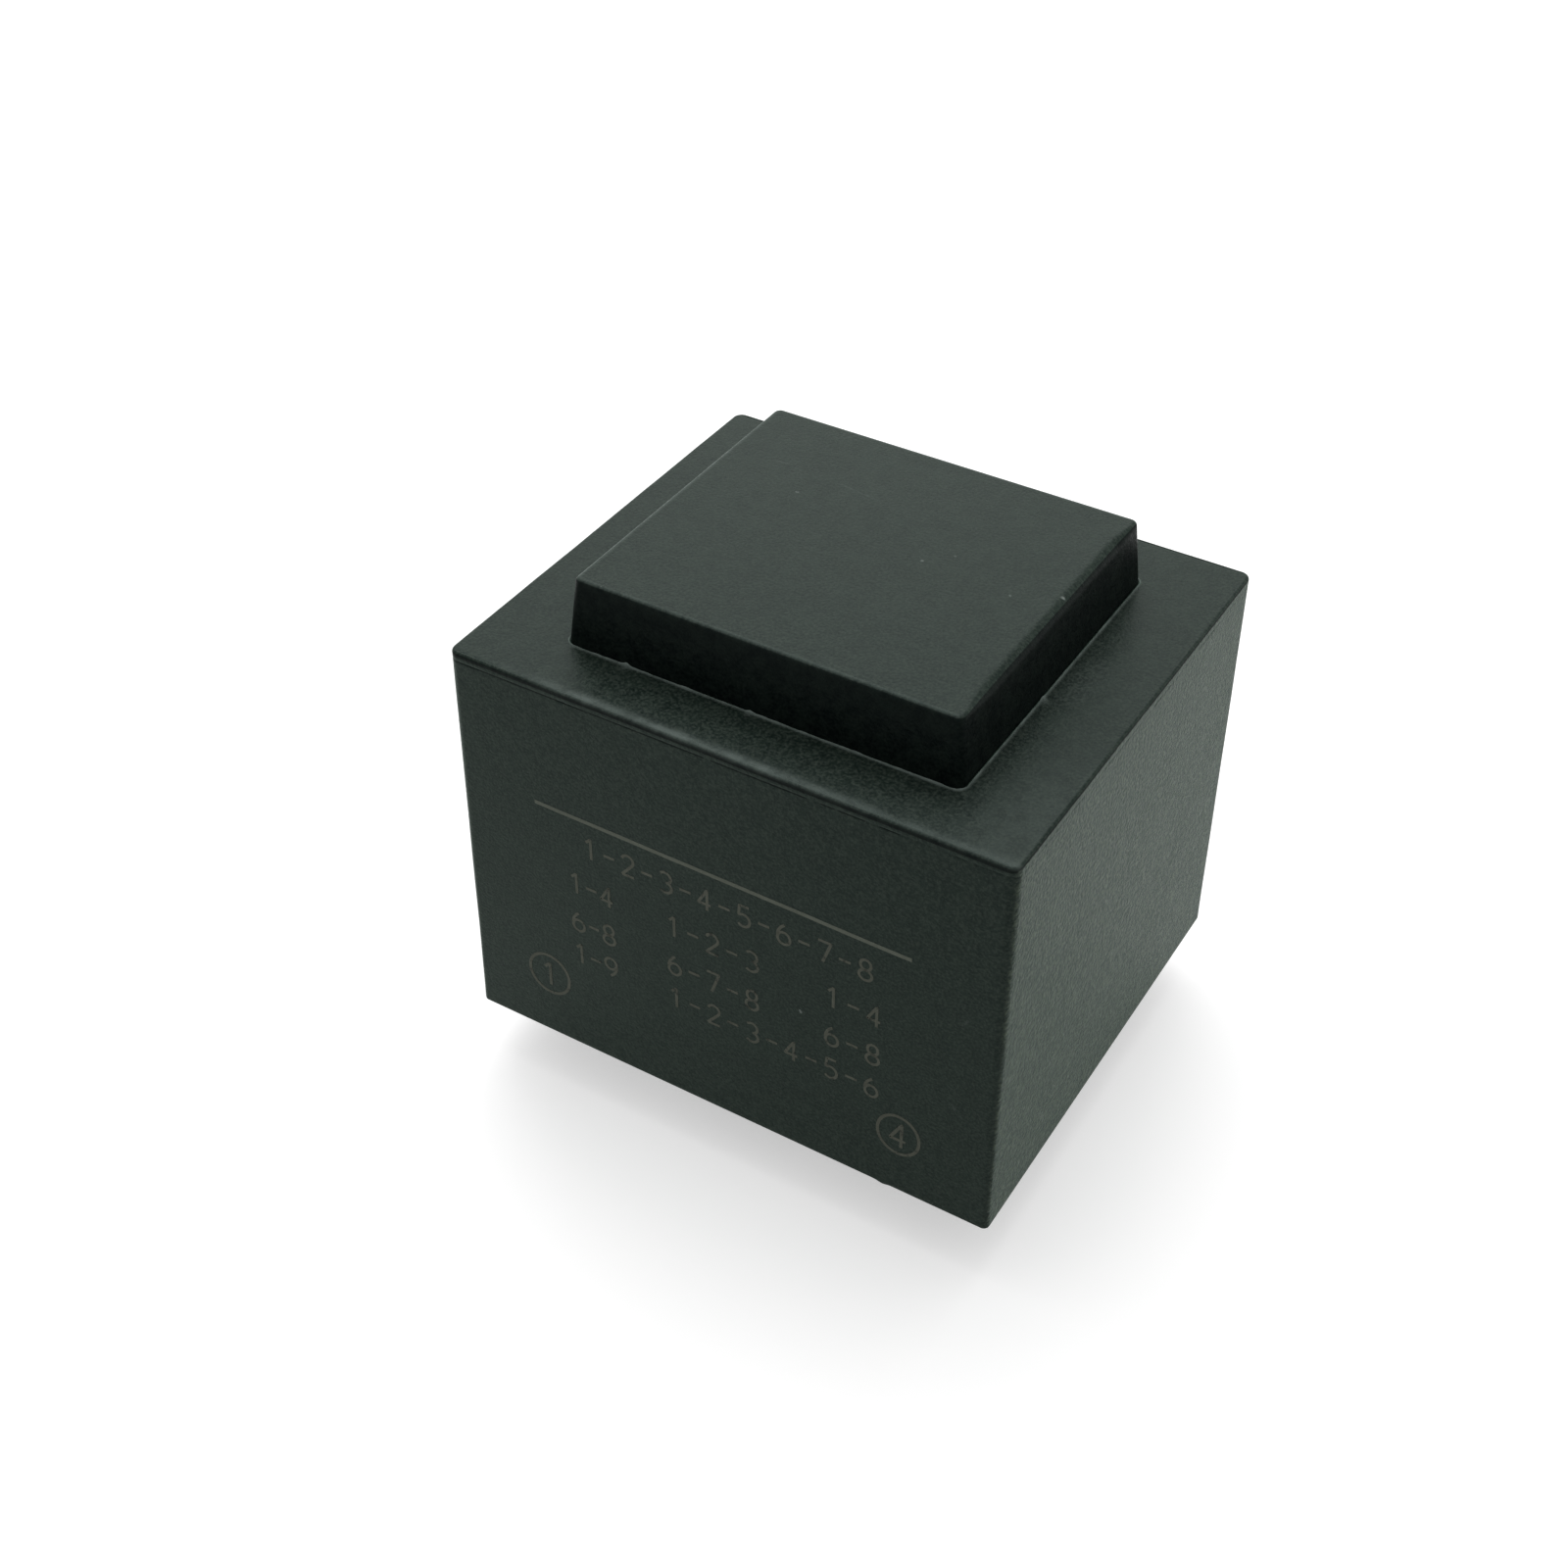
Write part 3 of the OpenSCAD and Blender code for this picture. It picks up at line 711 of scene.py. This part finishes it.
def rib_push(points):
    """How far the ribs bring the inner walls in, to the faces of the core, above the stack's foot."""
    push = np.zeros(points.shape[:2] + (2,))
    high = points[..., 2] > STACK_Z
    for axis, other, place in ((1, 0, RIB_X), (0, 1, RIB_Y)):
        beside = np.abs(np.abs(points[..., other]) - place) < RIB_HALF
        outside = np.abs(points[..., axis]) > SHEETS[axis]
        short = np.sign(points[..., axis]) * SHEETS[axis] - points[..., axis]
        push[..., axis] = np.where(high & beside & outside, short, 0)
    return push


def wall_wave(x, y, z):
    """How far the body's walls stand out: slow shallow waves, which hardly ever pass the draft."""
    waves = ripple(x + 0.7 * z, 19 * MM, seed=3) + ripple(y - 0.6 * z, 16 * MM, seed=5)
    return WALL_WAVE * (waves - 1.6)


def bluntness(y):
    """How much larger than usual the block's +X edge is: most at its middle and none at its ends."""
    grown = ease(BLOCK_TOP[1] - np.abs(y), BLUNT_START, BLUNT_FULL)
    return (BLUNT_EDGE - BLOCK_EDGE) * grown


class Patch:
    """One part of the outside while it is dressed.

    It holds the points, the places x, y and z that they had at first, how much painted highlight each
    point has and which points take the dull finish that paints shade.
    """

    def __init__(self, rows):
        self.points = rings(WALK, rows)
        self.x, self.y, self.z = (self.points[..., axis].copy() for axis in range(3))
        self.painted_highlight = np.zeros(self.x.shape)
        self.dull = np.zeros(self.x.shape, bool)

    def push_out(self, amount):
        """Moves each point level outwards by its amount."""
        self.points[..., :2] += amount[..., None] * OUTWARDS

    def lift(self, amount):
        """Moves each point upwards by its amount."""
        self.points[..., 2] += amount

    def near(self, place):
        """Bell round a place that is given as X, Y and width in millimetres."""
        x, y, width = (value * MM for value in place)
        return bell(np.hypot(self.x - x, self.y - y), width)


def wave_walls(patch):
    """Waves on the body's walls, and a strip of painted shade, in the dull finish, just under its top
    edge.
    """
    start = np.clip(patch.z / WAVE_FADE, 0, 1)
    patch.push_out(wall_wave(patch.x, patch.y, patch.z) * start)
    below = LEDGE_Z - patch.z
    strip = np.where(FACES_FRONT, 0.3 * MM, 0.2 * MM)
    # Painted shade: a dull strip just under the top edge that stands in for a dark line
    patch.dull |= (below > 0.4 * SHOWN_EDGE) & (below < strip)


def draw_witness(patch):
    """Witness line round the walls, a shallow groove with painted shade along it on the front, which
    comes and goes there.
    """
    uneven = ripple(patch.x + patch.y, 6 * MM, seed=11)
    away = patch.z - WITNESS_Z
    patch.push_out(-WITNESS_DEPTH * (0.6 + 0.4 * uneven) * bell(away, WITNESS_WIDTH))
    shows = uneven > ease(patch.x, 4 * MM, 12 * MM) * 1.6 - 0.75
    # Painted shade: where the witness line shows on the front it takes the dull finish
    patch.dull |= FACES_FRONT & shows & (np.abs(away) < 1.2 * WITNESS_WIDTH)


def hang_burr(patch):
    """Burr that hangs from the rim on the front."""
    x, width, drop = (value * MM for value in RIM_BURR)
    patch.lift(-drop * bell(patch.x - x, width) * bell(patch.z, 0.2 * MM) * (patch.y < 0))


def mark_front_edge(patch):
    """Nicks in the ledge's front edge, and a painted highlight along it, which thins out towards +X."""
    for *place, height in NICKS:
        patch.lift(height * MM * patch.near(place))
    inwards = BODY_TOP[1] + patch.y
    uneven = 0.8 + 0.2 * ripple(patch.x, 5 * MM, seed=17)
    # Painted highlight: a band of lighter colour where the rounded edge would catch the light
    band = BAND_STRENGTH * bell(inwards - BAND_PLACE, BAND_WIDTH) * uneven
    along = ease(patch.x, -15 * MM, -6 * MM) * (1 - 0.62 * ease(patch.x, 0, 11 * MM))
    patch.painted_highlight += band * along * (patch.y < 0)


def raise_flash(patch):
    """Uneven flash round the block's foot with its burrs, and a painted highlight where they are raised.
    """
    away = distance_from(patch.x, patch.y, BLOCK_FOOT, BLOCK_FOOT_CORNER) - FLASH_PLACE
    slow = ripple(patch.x - patch.y, 4.5 * MM, seed=21)
    quick = ripple(patch.x + patch.y, 1.1 * MM, seed=22)
    uneven = 0.85 + 0.3 * slow + 0.12 * quick
    patch.lift(FLASH_HEIGHT * uneven * bell(away, FLASH_WIDTH))
    # Painted highlight along the raised flash
    patch.painted_highlight += uneven * bell(away, 1.3 * FLASH_WIDTH)
    for *place, height in BURRS:
        patch.lift(height * MM * patch.near(place))
        # Painted highlight on each burr
        patch.painted_highlight += 0.5 * patch.near(place)


def wave_ledge(patch):
    """Waves and sagging long edges of the ledge, and painted light that grows towards its near right
    corner.
    """
    beside = distance_from(patch.x, patch.y, BLOCK_FOOT, BLOCK_FOOT_CORNER)
    waves = ripple(patch.x + patch.y, 11 * MM, seed=31)
    patch.lift(LEDGE_WAVE * waves * np.clip(beside / MM, 0, 1))
    patch.lift(-SAG * bell(BODY_TOP[1] - np.abs(patch.y), SAG_WIDTH))
    # Painted light: lighter colour towards the ledge's near right corner, standing in for reflected light
    patch.painted_highlight += 0.085 * ease(patch.x - patch.y, 18 * MM, 27 * MM)


def extra_edge(patch):
    """How much larger than usual the block's edge is next to each point."""
    return bluntness(patch.y) * ease(OUTWARDS[:, 0], 0.2, 0.95)


def lower_block_walls(patch):
    """Walls of the block in the dull finish that paints shade, which end lower where the edge above them
    is larger.
    """
    usual = TOP_Z - BLOCK_EDGE - LEDGE_Z
    patch.points[..., 2] = LEDGE_Z + (patch.z - LEDGE_Z) * (usual - extra_edge(patch)) / usual
    # Painted shade: the whole block wall takes the dull finish
    patch.dull[1:] = True


def blunt_block_edge(patch):
    """The block's edge, larger along +X. Low down it takes the dull finish that paints shade, and on the
    other sides it has a painted highlight on top.
    """
    down = (TOP_Z - patch.z) / BLOCK_EDGE
    up = 1 - down
    turned = 1 - np.sqrt(np.clip(1 - up**2, 0, 1))
    extra = extra_edge(patch)
    patch.push_out(-extra * turned)
    patch.lift(-extra * down)
    # Painted highlight along the top of the edge, except on the +X side
    patch.painted_highlight += 0.15 * bell(up - 0.95, 0.25) * (OUTWARDS[:, 0] < 0.5)
    # Painted shade: the lower part of the edge takes the dull finish
    patch.dull |= up < 0.72


def sink_top(patch):
    """Top of the block: pulled in at the large edge, with slow sunken waves inside its outline."""
    pulled = bluntness(patch.y) * np.clip(patch.x, 0, None) / (BLOCK_TOP[0] - BLOCK_EDGE)
    patch.points[..., 0] -= pulled
    inset = np.minimum(BLOCK_TOP[0] - np.abs(patch.x), BLOCK_TOP[1] - np.abs(patch.y))
    waves = ripple(patch.x, 13 * MM, seed=41) * ripple(patch.y, 12 * MM, seed=43) - 0.9
    patch.lift(TOP_WAVE * waves * np.clip(inset / WAVE_FADE, 0, 1))


# What dresses each part of the outside, in the order of outer_rows
DRESSING = [
    (wave_walls, draw_witness, hang_burr),
    (wave_walls, mark_front_edge),
    (mark_front_edge, raise_flash, wave_ledge),
    (lower_block_walls,),
    (blunt_block_edge,),
    (sink_top,),
]


def point_values(piece, name, values):
    """Stores a value from none to one for each point of the rings, and none for the two poles."""
    level = np.append(np.clip(values.ravel(), 0, 1), [0, 0]).astype(np.float32)
    piece.data.attributes.new(name, "FLOAT", "POINT").data.foreach_set("value", level)


def build_housing():
    """The housing as one closed skin, from a pole under its top, down inside and up outside."""
    inner = rings(WALK, np.vstack(inner_rows()))
    inner[..., :2] += rib_push(inner)
    outer = [Patch(rows) for rows in outer_rows()]
    for patch, steps in zip(outer, DRESSING):
        for step in steps:
            step(patch)
    grid = np.concatenate([inner, *(patch.points for patch in outer)])
    poles = [[0, 0, UNDER_TOP_Z], [0, 0, grid[-1, :, 2].mean()]]
    points, faces = skin(grid, poles)
    piece = mesh_piece("housing_shell", points, faces, PLASTIC_FINISH, "housing_plastic", 32)
    # Second finish: the dull copy that paints shade
    piece.data.materials.append(PAINTED_SHADE_FINISH)

    none = np.zeros(inner.shape[:2])
    coarse = np.zeros(grid.shape[:2])
    walls = slice(len(inner), len(inner) + len(outer[0].points))
    # Coarse end walls: real pit relief, and pale pit colour that is painted glint
    coarse[walls] = ease(np.abs(OUTWARDS[:, 0]), 0.6, 0.95)
    # Painted highlights for each point
    point_values(piece, "painted_highlight", np.concatenate([none, *(patch.painted_highlight for patch in outer)]))
    point_values(piece, "coarse", coarse)

    # Faces between points in a dull line take the dull finish that paints shade
    dull = np.concatenate([none.astype(bool), *(patch.dull for patch in outer)])
    quads = dull[:-1] & dull[1:]
    index = np.zeros(len(faces), np.int32)
    index[: quads.size] = quads.ravel()
    piece.data.polygons.foreach_set("material_index", index)
    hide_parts("housing")


build_housing()

# -------------------- Pins and resin surface --------------------

PIN_WALK = square_walk(2, 2, 12)
TIP_RADIUS = 0.2 * MM
COAT = 0.006 * MM  # half of what the coat of tin varies by in thickness
ROOT_CORNER = 0.03 * MM
BURIED = 0.05 * MM  # how far the back of a meniscus lies inside the resin


def build_pin(name):
    """Round pin with a rounded tip and a thin uneven coat of tin, on a square root.

    Returns the place of its axis and its radius.
    """
    low, high = (np.array(corner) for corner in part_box(name))
    middle = (low + high) / 2
    half_root = (high[0] - low[0]) / 2
    points = corners_of(name)
    below = points[points[:, 2] < RESIN_Z - LEVEL] - middle
    radius = np.hypot(below[:, 0], below[:, 1]).max()
    turn = np.linspace(0.15, 1, 7) * math.pi / 2
    tip = low[2] + TIP_RADIUS * (1 - np.cos(turn))
    shaft = np.linspace(low[2] + 2 * TIP_RADIUS, RESIN_Z - SMALL, 26)
    coat = COAT * (1 + ripple(shaft, 2.4 * MM, seed=int(name.split("_")[1])))
    rounds = np.concatenate([radius - TIP_RADIUS * (1 - np.sin(turn)), radius - coat])
    heights = np.concatenate([tip, shaft])
    round_rows = np.stack([rounds, rounds, rounds, heights], 1)
    square = np.array([half_root, half_root, ROOT_CORNER])
    root = [[*square, RESIN_Z], [*square, high[2] - SMALL], [*(square - SMALL), high[2]]]
    grid = rings(PIN_WALK, np.vstack([round_rows, root]))
    grid[..., :2] += middle[:2]
    poles = [[*middle[:2], low[2]], [*middle[:2], high[2]]]
    piece = mesh_piece(f"tinned_{name}", *skin(grid, poles), TIN, "tinned_pin", 50)
    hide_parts(name)
    return middle[:2], radius


def meniscus_heights(reach, deepest, length):
    """Heights of a meniscus: its depth falls off as an exponential of the distance from what it wets.

    The last two heights lie inside the resin, where the surface closes on itself.
    """
    depth = deepest * np.exp(-reach / length)
    depth[-1] = 0
    return np.concatenate([RESIN_Z - depth, [RESIN_Z + BURIED, RESIN_Z + BURIED]])


def pin_meniscus(centre, radius):
    """Ring of resin drawn down a pin."""
    reach = np.array([0, 0.06, 0.14, 0.26, 0.42, 0.62, 0.9]) * MM
    heights = meniscus_heights(reach, 0.3 * MM, 0.2 * MM)
    rounds = radius + np.concatenate([reach, [0.7 * MM, 0]])
    grid = rings(PIN_WALK, np.stack([rounds, rounds, rounds, heights], 1))
    grid[..., :2] += centre
    return skin(grid, looped=True)


def rim_meniscus():
    """Resin drawn down the inside of the rim."""
    reach = np.array([0, 0.08, 0.18, 0.32, 0.5, 0.8, 1.2]) * MM
    heights = meniscus_heights(reach, 0.32 * MM, 0.3 * MM)
    inset = np.concatenate([reach, [1.0 * MM, 0]])
    wall = HOLLOW_FOOT + SMALL
    corner = np.maximum(INNER_CORNER - inset * 0.3, 0.1 * MM)
    rows = np.stack([wall[0] - inset, wall[1] - inset, corner, heights], 1)
    return skin(rings(square_walk(60, 50, 8), rows), looped=True)


def build_resin_surface():
    """The pins and the resin's meniscus round each of them and along the rim."""
    parts = [pin_meniscus(*build_pin(name)) for name in PINS]
    parts.append(rim_meniscus())
    mesh_piece("resin_meniscus", *joined(parts), RESIN, "potting_resin", 60)


build_resin_surface()

# -------------------- Print on the front --------------------

# How far ink stands over the wall and reaches under it
INK_HEIGHT, INK_SINK = 0.012 * MM, 0.05 * MM


def on_front(places):
    """Points on the body's front wall for places (X, height), out to the wall's draft and waves."""
    x, z = places[:, 0], places[:, 1]
    share = z / (LEDGE_Z - BODY_EDGE)
    y = -(RIM[1] + (BODY_TOP[1] - RIM[1]) * share)
    return np.stack([x, y - wall_wave(x, y, z), z], 1)


def arc(centre, size, start, end, steps=12):
    """Places on an ellipse's arc between two angles in degrees."""
    angle = np.radians(np.linspace(start, end, steps))
    return np.stack([centre[0] + size[0] * np.cos(angle), centre[1] + size[1] * np.sin(angle)], 1)


def line(*places):
    """Places on a broken line, with some more beside each corner so that it stays sharp."""
    places = np.array(places, float)
    share = np.array([0, 0.04, 0.5, 0.96])[:, None]
    pieces = [(1 - share) * a + share * b for a, b in zip(places[:-1], places[1:])]
    return np.vstack([*pieces, places[-1:]])


# Strokes of each digit in a cell that is one wide and two high
TWO = np.vstack([arc((0.5, 1.46), (0.42, 0.5), 165, -40), line((0.06, 0.04), (0.94, 0.04))])
FIVE = [line((0.86, 1.96), (0.2, 1.96), (0.14, 1.1)), arc((0.46, 0.62), (0.46, 0.58), 125, -140)]
DIGITS = {
    "1": [line((0.2, 1.55), (0.55, 1.96), (0.55, 0.04))],
    "2": [TWO],
    "3": [arc((0.46, 1.46), (0.42, 0.5), 140, -80), arc((0.46, 0.54), (0.46, 0.5), 80, -140)],
    "4": [line((0.94, 0.6), (0.06, 0.6), (0.68, 1.96), (0.68, 0.04))],
    "5": [np.vstack(FIVE)],
    "6": [arc((0.5, 0.6), (0.44, 0.56), 90, 450, 18), arc((1.0, 0.75), (0.94, 1.24), 180, 118)],
    "7": [line((0.06, 1.96), (0.94, 1.96), (0.4, 0.04))],
    "8": [arc((0.5, 1.48), (0.36, 0.48), 90, 450, 18), arc((0.5, 0.52), (0.44, 0.48), 90, 450, 18)],
    "9": [arc((0.5, 1.4), (0.44, 0.56), 90, 450, 18), arc((0.0, 1.25), (0.94, 1.24), 0, -62)],
    "-": [line((0.1, 1.0), (0.9, 1.0))],
}

CELL_SHAPE = 0.88 / 1.5  # width of a digit's cell as a share of its height
ROW_HEIGHT = 1.45 * MM
SLOPE = -0.018  # how much a row sags to the right
STROKE, RING_STROKE, RULE_STROKE = 0.17 * MM, 0.19 * MM, 0.24 * MM

# Places of the print as (X, height), and all its lengths, in millimetres
RULE = ((-11.42, 17.24), (11.21, 17.06))
# Rows: signs, foot of the first sign, and pitch
ROWS = [
    ("1-2-3-4-5-6-7-8", (-8.4, 14.7), 1.19),
    ("1-4", (-9.5, 11.8), 1.0),
    ("1-2-3   1-4", (-3.25, 11.68), 1.21),
    ("6-8", (-9.5, 9.0), 1.0),
    ("6-7-8   6-8", (-3.25, 8.88), 1.21),
    ("1-9", (-9.5, 6.57), 1.0),
    ("1-2-3-4-5-6", (-3.25, 6.45), 1.21),
]
# Ringed digits: sign, centre, half sizes of the ring, and height
RINGED = [("1", (-11.4, 4.58), (1.34, 1.42), 1.7), ("4", (11.0, 4.26), (1.24, 1.4), 1.8)]


def ribbon(places, width):
    """Closed flat strip of ink along a path on the front wall.

    Each place gives four corners: half a width to either side, just over the wall and just under it.
    """
    ahead = np.gradient(places, axis=0)
    ahead /= np.linalg.norm(ahead, axis=1)[:, None] + 1e-12
    across = np.stack([-ahead[:, 1], ahead[:, 0]], 1) * width / 2
    left, right = on_front(places + across), on_front(places - across)
    out = np.array([0, -INK_HEIGHT, 0])
    back = np.array([0, INK_SINK, 0])
    grid = np.stack([left + out, right + out, right + back, left + back], 1)
    poles = [grid[0].mean(0), grid[-1].mean(0)]
    return skin(grid, poles)


def digit_strokes(sign, place, height):
    """Paths of one digit with its foot's left end at a place."""
    scale = np.array([CELL_SHAPE * height, height / 2])
    return [np.asarray(place) + stroke * scale for stroke in DIGITS[sign]]


def number_row(signs, start, pitch):
    """Paths of a row of plain digits, which sags a little to the right. A space leaves a gap."""
    paths = []
    for count, sign in enumerate(signs):
        if sign != " ":
            across = count * pitch
            place = (start[0] + across, start[1] + across * SLOPE)
            paths += digit_strokes(sign, place, ROW_HEIGHT)
    return paths


def ringed_digit(sign, centre, size, height):
    """Paths of a plain digit in an oval."""
    oval = arc(centre, size, 90, 450, 48)
    corner = centre - np.array([CELL_SHAPE, 1]) * height / 2
    return [oval, *digit_strokes(sign, corner, height)]


def print_piece(name, paths, stroke, ink):
    """Paths as one piece of print with that stroke and ink."""
    ribbons = [ribbon(path, stroke) for path in paths]
    mesh_piece(name, *joined(ribbons), ink, "housing_plastic")


def build_print():
    """Rule line, rows of plain digits and the ringed numbers of the two outer pins."""
    print_piece("print_rule", [np.linspace(*np.array(RULE), 40) * MM], RULE_STROKE, RULE_INK)
    rows, ringed = [], []
    for signs, start, pitch in ROWS:
        rows += number_row(signs, np.array(start) * MM, pitch * MM)
    for sign, centre, size, height in RINGED:
        ringed += ringed_digit(sign, np.array(centre) * MM, np.array(size) * MM, height * MM)
    print_piece("print_rows", rows, STROKE, INK)
    print_piece("print_pin_numbers", ringed, RING_STROKE, INK)


build_print()

# -------------------- Floor, light and camera --------------------

FLOOR_HALF = 2.0
FLOOR_COLOUR = (0.7, 0.7, 0.7, 1)
FLOOR_GLOW = 0.24  # what the floor adds to be white in view, on top of what the light gives it
GLOW_NEAR, GLOW_FAR = 0.1, 0.6  # between these distances it rises to full white
SHADOW_LIFT = 0.24  # how much paler the shadow is to the camera
WHITE = (1, 1, 1, 1)
# Softboxes: place, size and radiance
SOFTBOXES = {
    "back_softbox": ((-0.26, 0.38, 0.41), 0.5, 1.35),
    "overhead_softbox": ((-0.08, 0.10, 0.46), 0.34, 2.7),
}


def in_view(tree):
    """One for what the camera sees, directly, in a reflection or through glass, and otherwise none."""
    rays = add(tree, "ShaderNodeLightPath").outputs
    mirrored = math_node(tree, "ADD", rays["Is Glossy Ray"], rays["Is Transmission Ray"])
    return math_node(tree, "ADD", rays["Is Camera Ray"], mirrored, clamp=True)


def floor_finish():
    """Pale floor that is white in view, keeps the shadow, and lets views from below through."""
    material = bpy.data.materials.new("pale_floor")
    material.use_nodes = True
    tree = material.node_tree
    tree.nodes.clear()
    lit = add(tree, "ShaderNodeBsdfDiffuse", {"Color": FLOOR_COLOUR}).outputs[0]
    away = vector_node(tree, "LENGTH", add(tree, "ShaderNodeTexCoord").outputs["Object"], result=1)
    needed = between(tree, away, GLOW_NEAR, GLOW_FAR, FLOOR_GLOW, 1.0)
    seen = math_node(tree, "MULTIPLY", in_view(tree), needed)
    straight = add(tree, "ShaderNodeLightPath").outputs["Is Camera Ray"]
    seen = math_node(tree, "MULTIPLY_ADD", straight, SHADOW_LIFT, seen)
    glow = add(tree, "ShaderNodeEmission", {"Color": WHITE, "Strength": seen}).outputs[0]
    both = add(tree, "ShaderNodeAddShader", {0: lit, 1: glow}).outputs[0]
    clear = add(tree, "ShaderNodeBsdfTransparent").outputs[0]
    behind = add(tree, "ShaderNodeNewGeometry").outputs["Backfacing"]
    shown = add(tree, "ShaderNodeMixShader", {0: behind, 1: both, 2: clear}).outputs[0]
    add(tree, "ShaderNodeOutputMaterial", {"Surface": shown})
    return material


def build_floor():
    """Wide floor under the pins."""
    mesh = bpy.data.meshes.new("floor")
    signs = ((-1, -1), (1, -1), (1, 1), (-1, 1))
    corners = [(x * FLOOR_HALF, y * FLOOR_HALF, FLOOR_Z) for x, y in signs]
    mesh.from_pydata(corners, [], [(0, 1, 2, 3)])
    mesh.materials.append(floor_finish())
    floor = bpy.data.objects.new("floor", mesh)
    bpy.context.scene.collection.objects.link(floor)


def build_world():
    """White backdrop in view. The light it gives is dim at the horizon and brightens overhead."""
    world = bpy.data.worlds.new("studio")
    world.use_nodes = True
    tree = world.node_tree
    tree.nodes.clear()
    direction = add(tree, "ShaderNodeTexCoord").outputs["Generated"]
    up = add(tree, "ShaderNodeSeparateXYZ", {"Vector": direction}).outputs[2]
    level = between(tree, up, 0.15, 0.9, 0.1, 0.82)
    dim = add(tree, "ShaderNodeBackground", {"Color": WHITE, "Strength": level}).outputs[0]
    white = add(tree, "ShaderNodeBackground", {"Color": WHITE, "Strength": 1.0}).outputs[0]
    shown = add(tree, "ShaderNodeMixShader", {0: in_view(tree), 1: dim, 2: white}).outputs[0]
    add(tree, "ShaderNodeOutputWorld", {"Surface": shown})
    bpy.context.scene.world = world


def softbox(name, place, size, radiance):
    """Square area light aimed at the part's middle. Its power is pi times its area times its radiance."""
    light = bpy.data.lights.new(name, "AREA")
    light.shape = "SQUARE"
    light.size = size
    light.energy = math.pi * size * size * radiance
    lamp = bpy.data.objects.new(name, light)
    aim = Vector((0, 0, LEDGE_Z / 2)) - Vector(place)
    lamp.rotation_euler = aim.to_track_quat("-Z", "Y").to_euler()
    lamp.location = place
    bpy.context.scene.collection.objects.link(lamp)


CAMERA_PLACE = Vector((45.668, -83.293, 92.339)) * MM
CAMERA_AZIMUTH = 31.109
CAMERA_DIP = 39.768
CAMERA_ROLL = 0.2145
LENS, SENSOR = 50.692, 36  # in millimetres


def build_camera():
    """Camera over the printed side's right corner."""
    data = bpy.data.cameras.new("camera")
    data.sensor_width = SENSOR
    data.lens = LENS
    data.clip_start = 0.005
    data.clip_end = 10
    camera = bpy.data.objects.new("camera", data)
    turn = Euler((math.radians(90 - CAMERA_DIP), 0, math.radians(CAMERA_AZIMUTH)), "XYZ").to_matrix()
    roll = Euler((0, 0, math.radians(CAMERA_ROLL)), "XYZ").to_matrix()
    camera.rotation_euler = (turn @ roll).to_euler()
    camera.location = CAMERA_PLACE
    bpy.context.scene.collection.objects.link(camera)
    bpy.context.scene.camera = camera


build_floor()
build_world()
for name, values in SOFTBOXES.items():
    softbox(name, *values)
build_camera()

view = bpy.context.scene.view_settings
view.view_transform = "Standard"
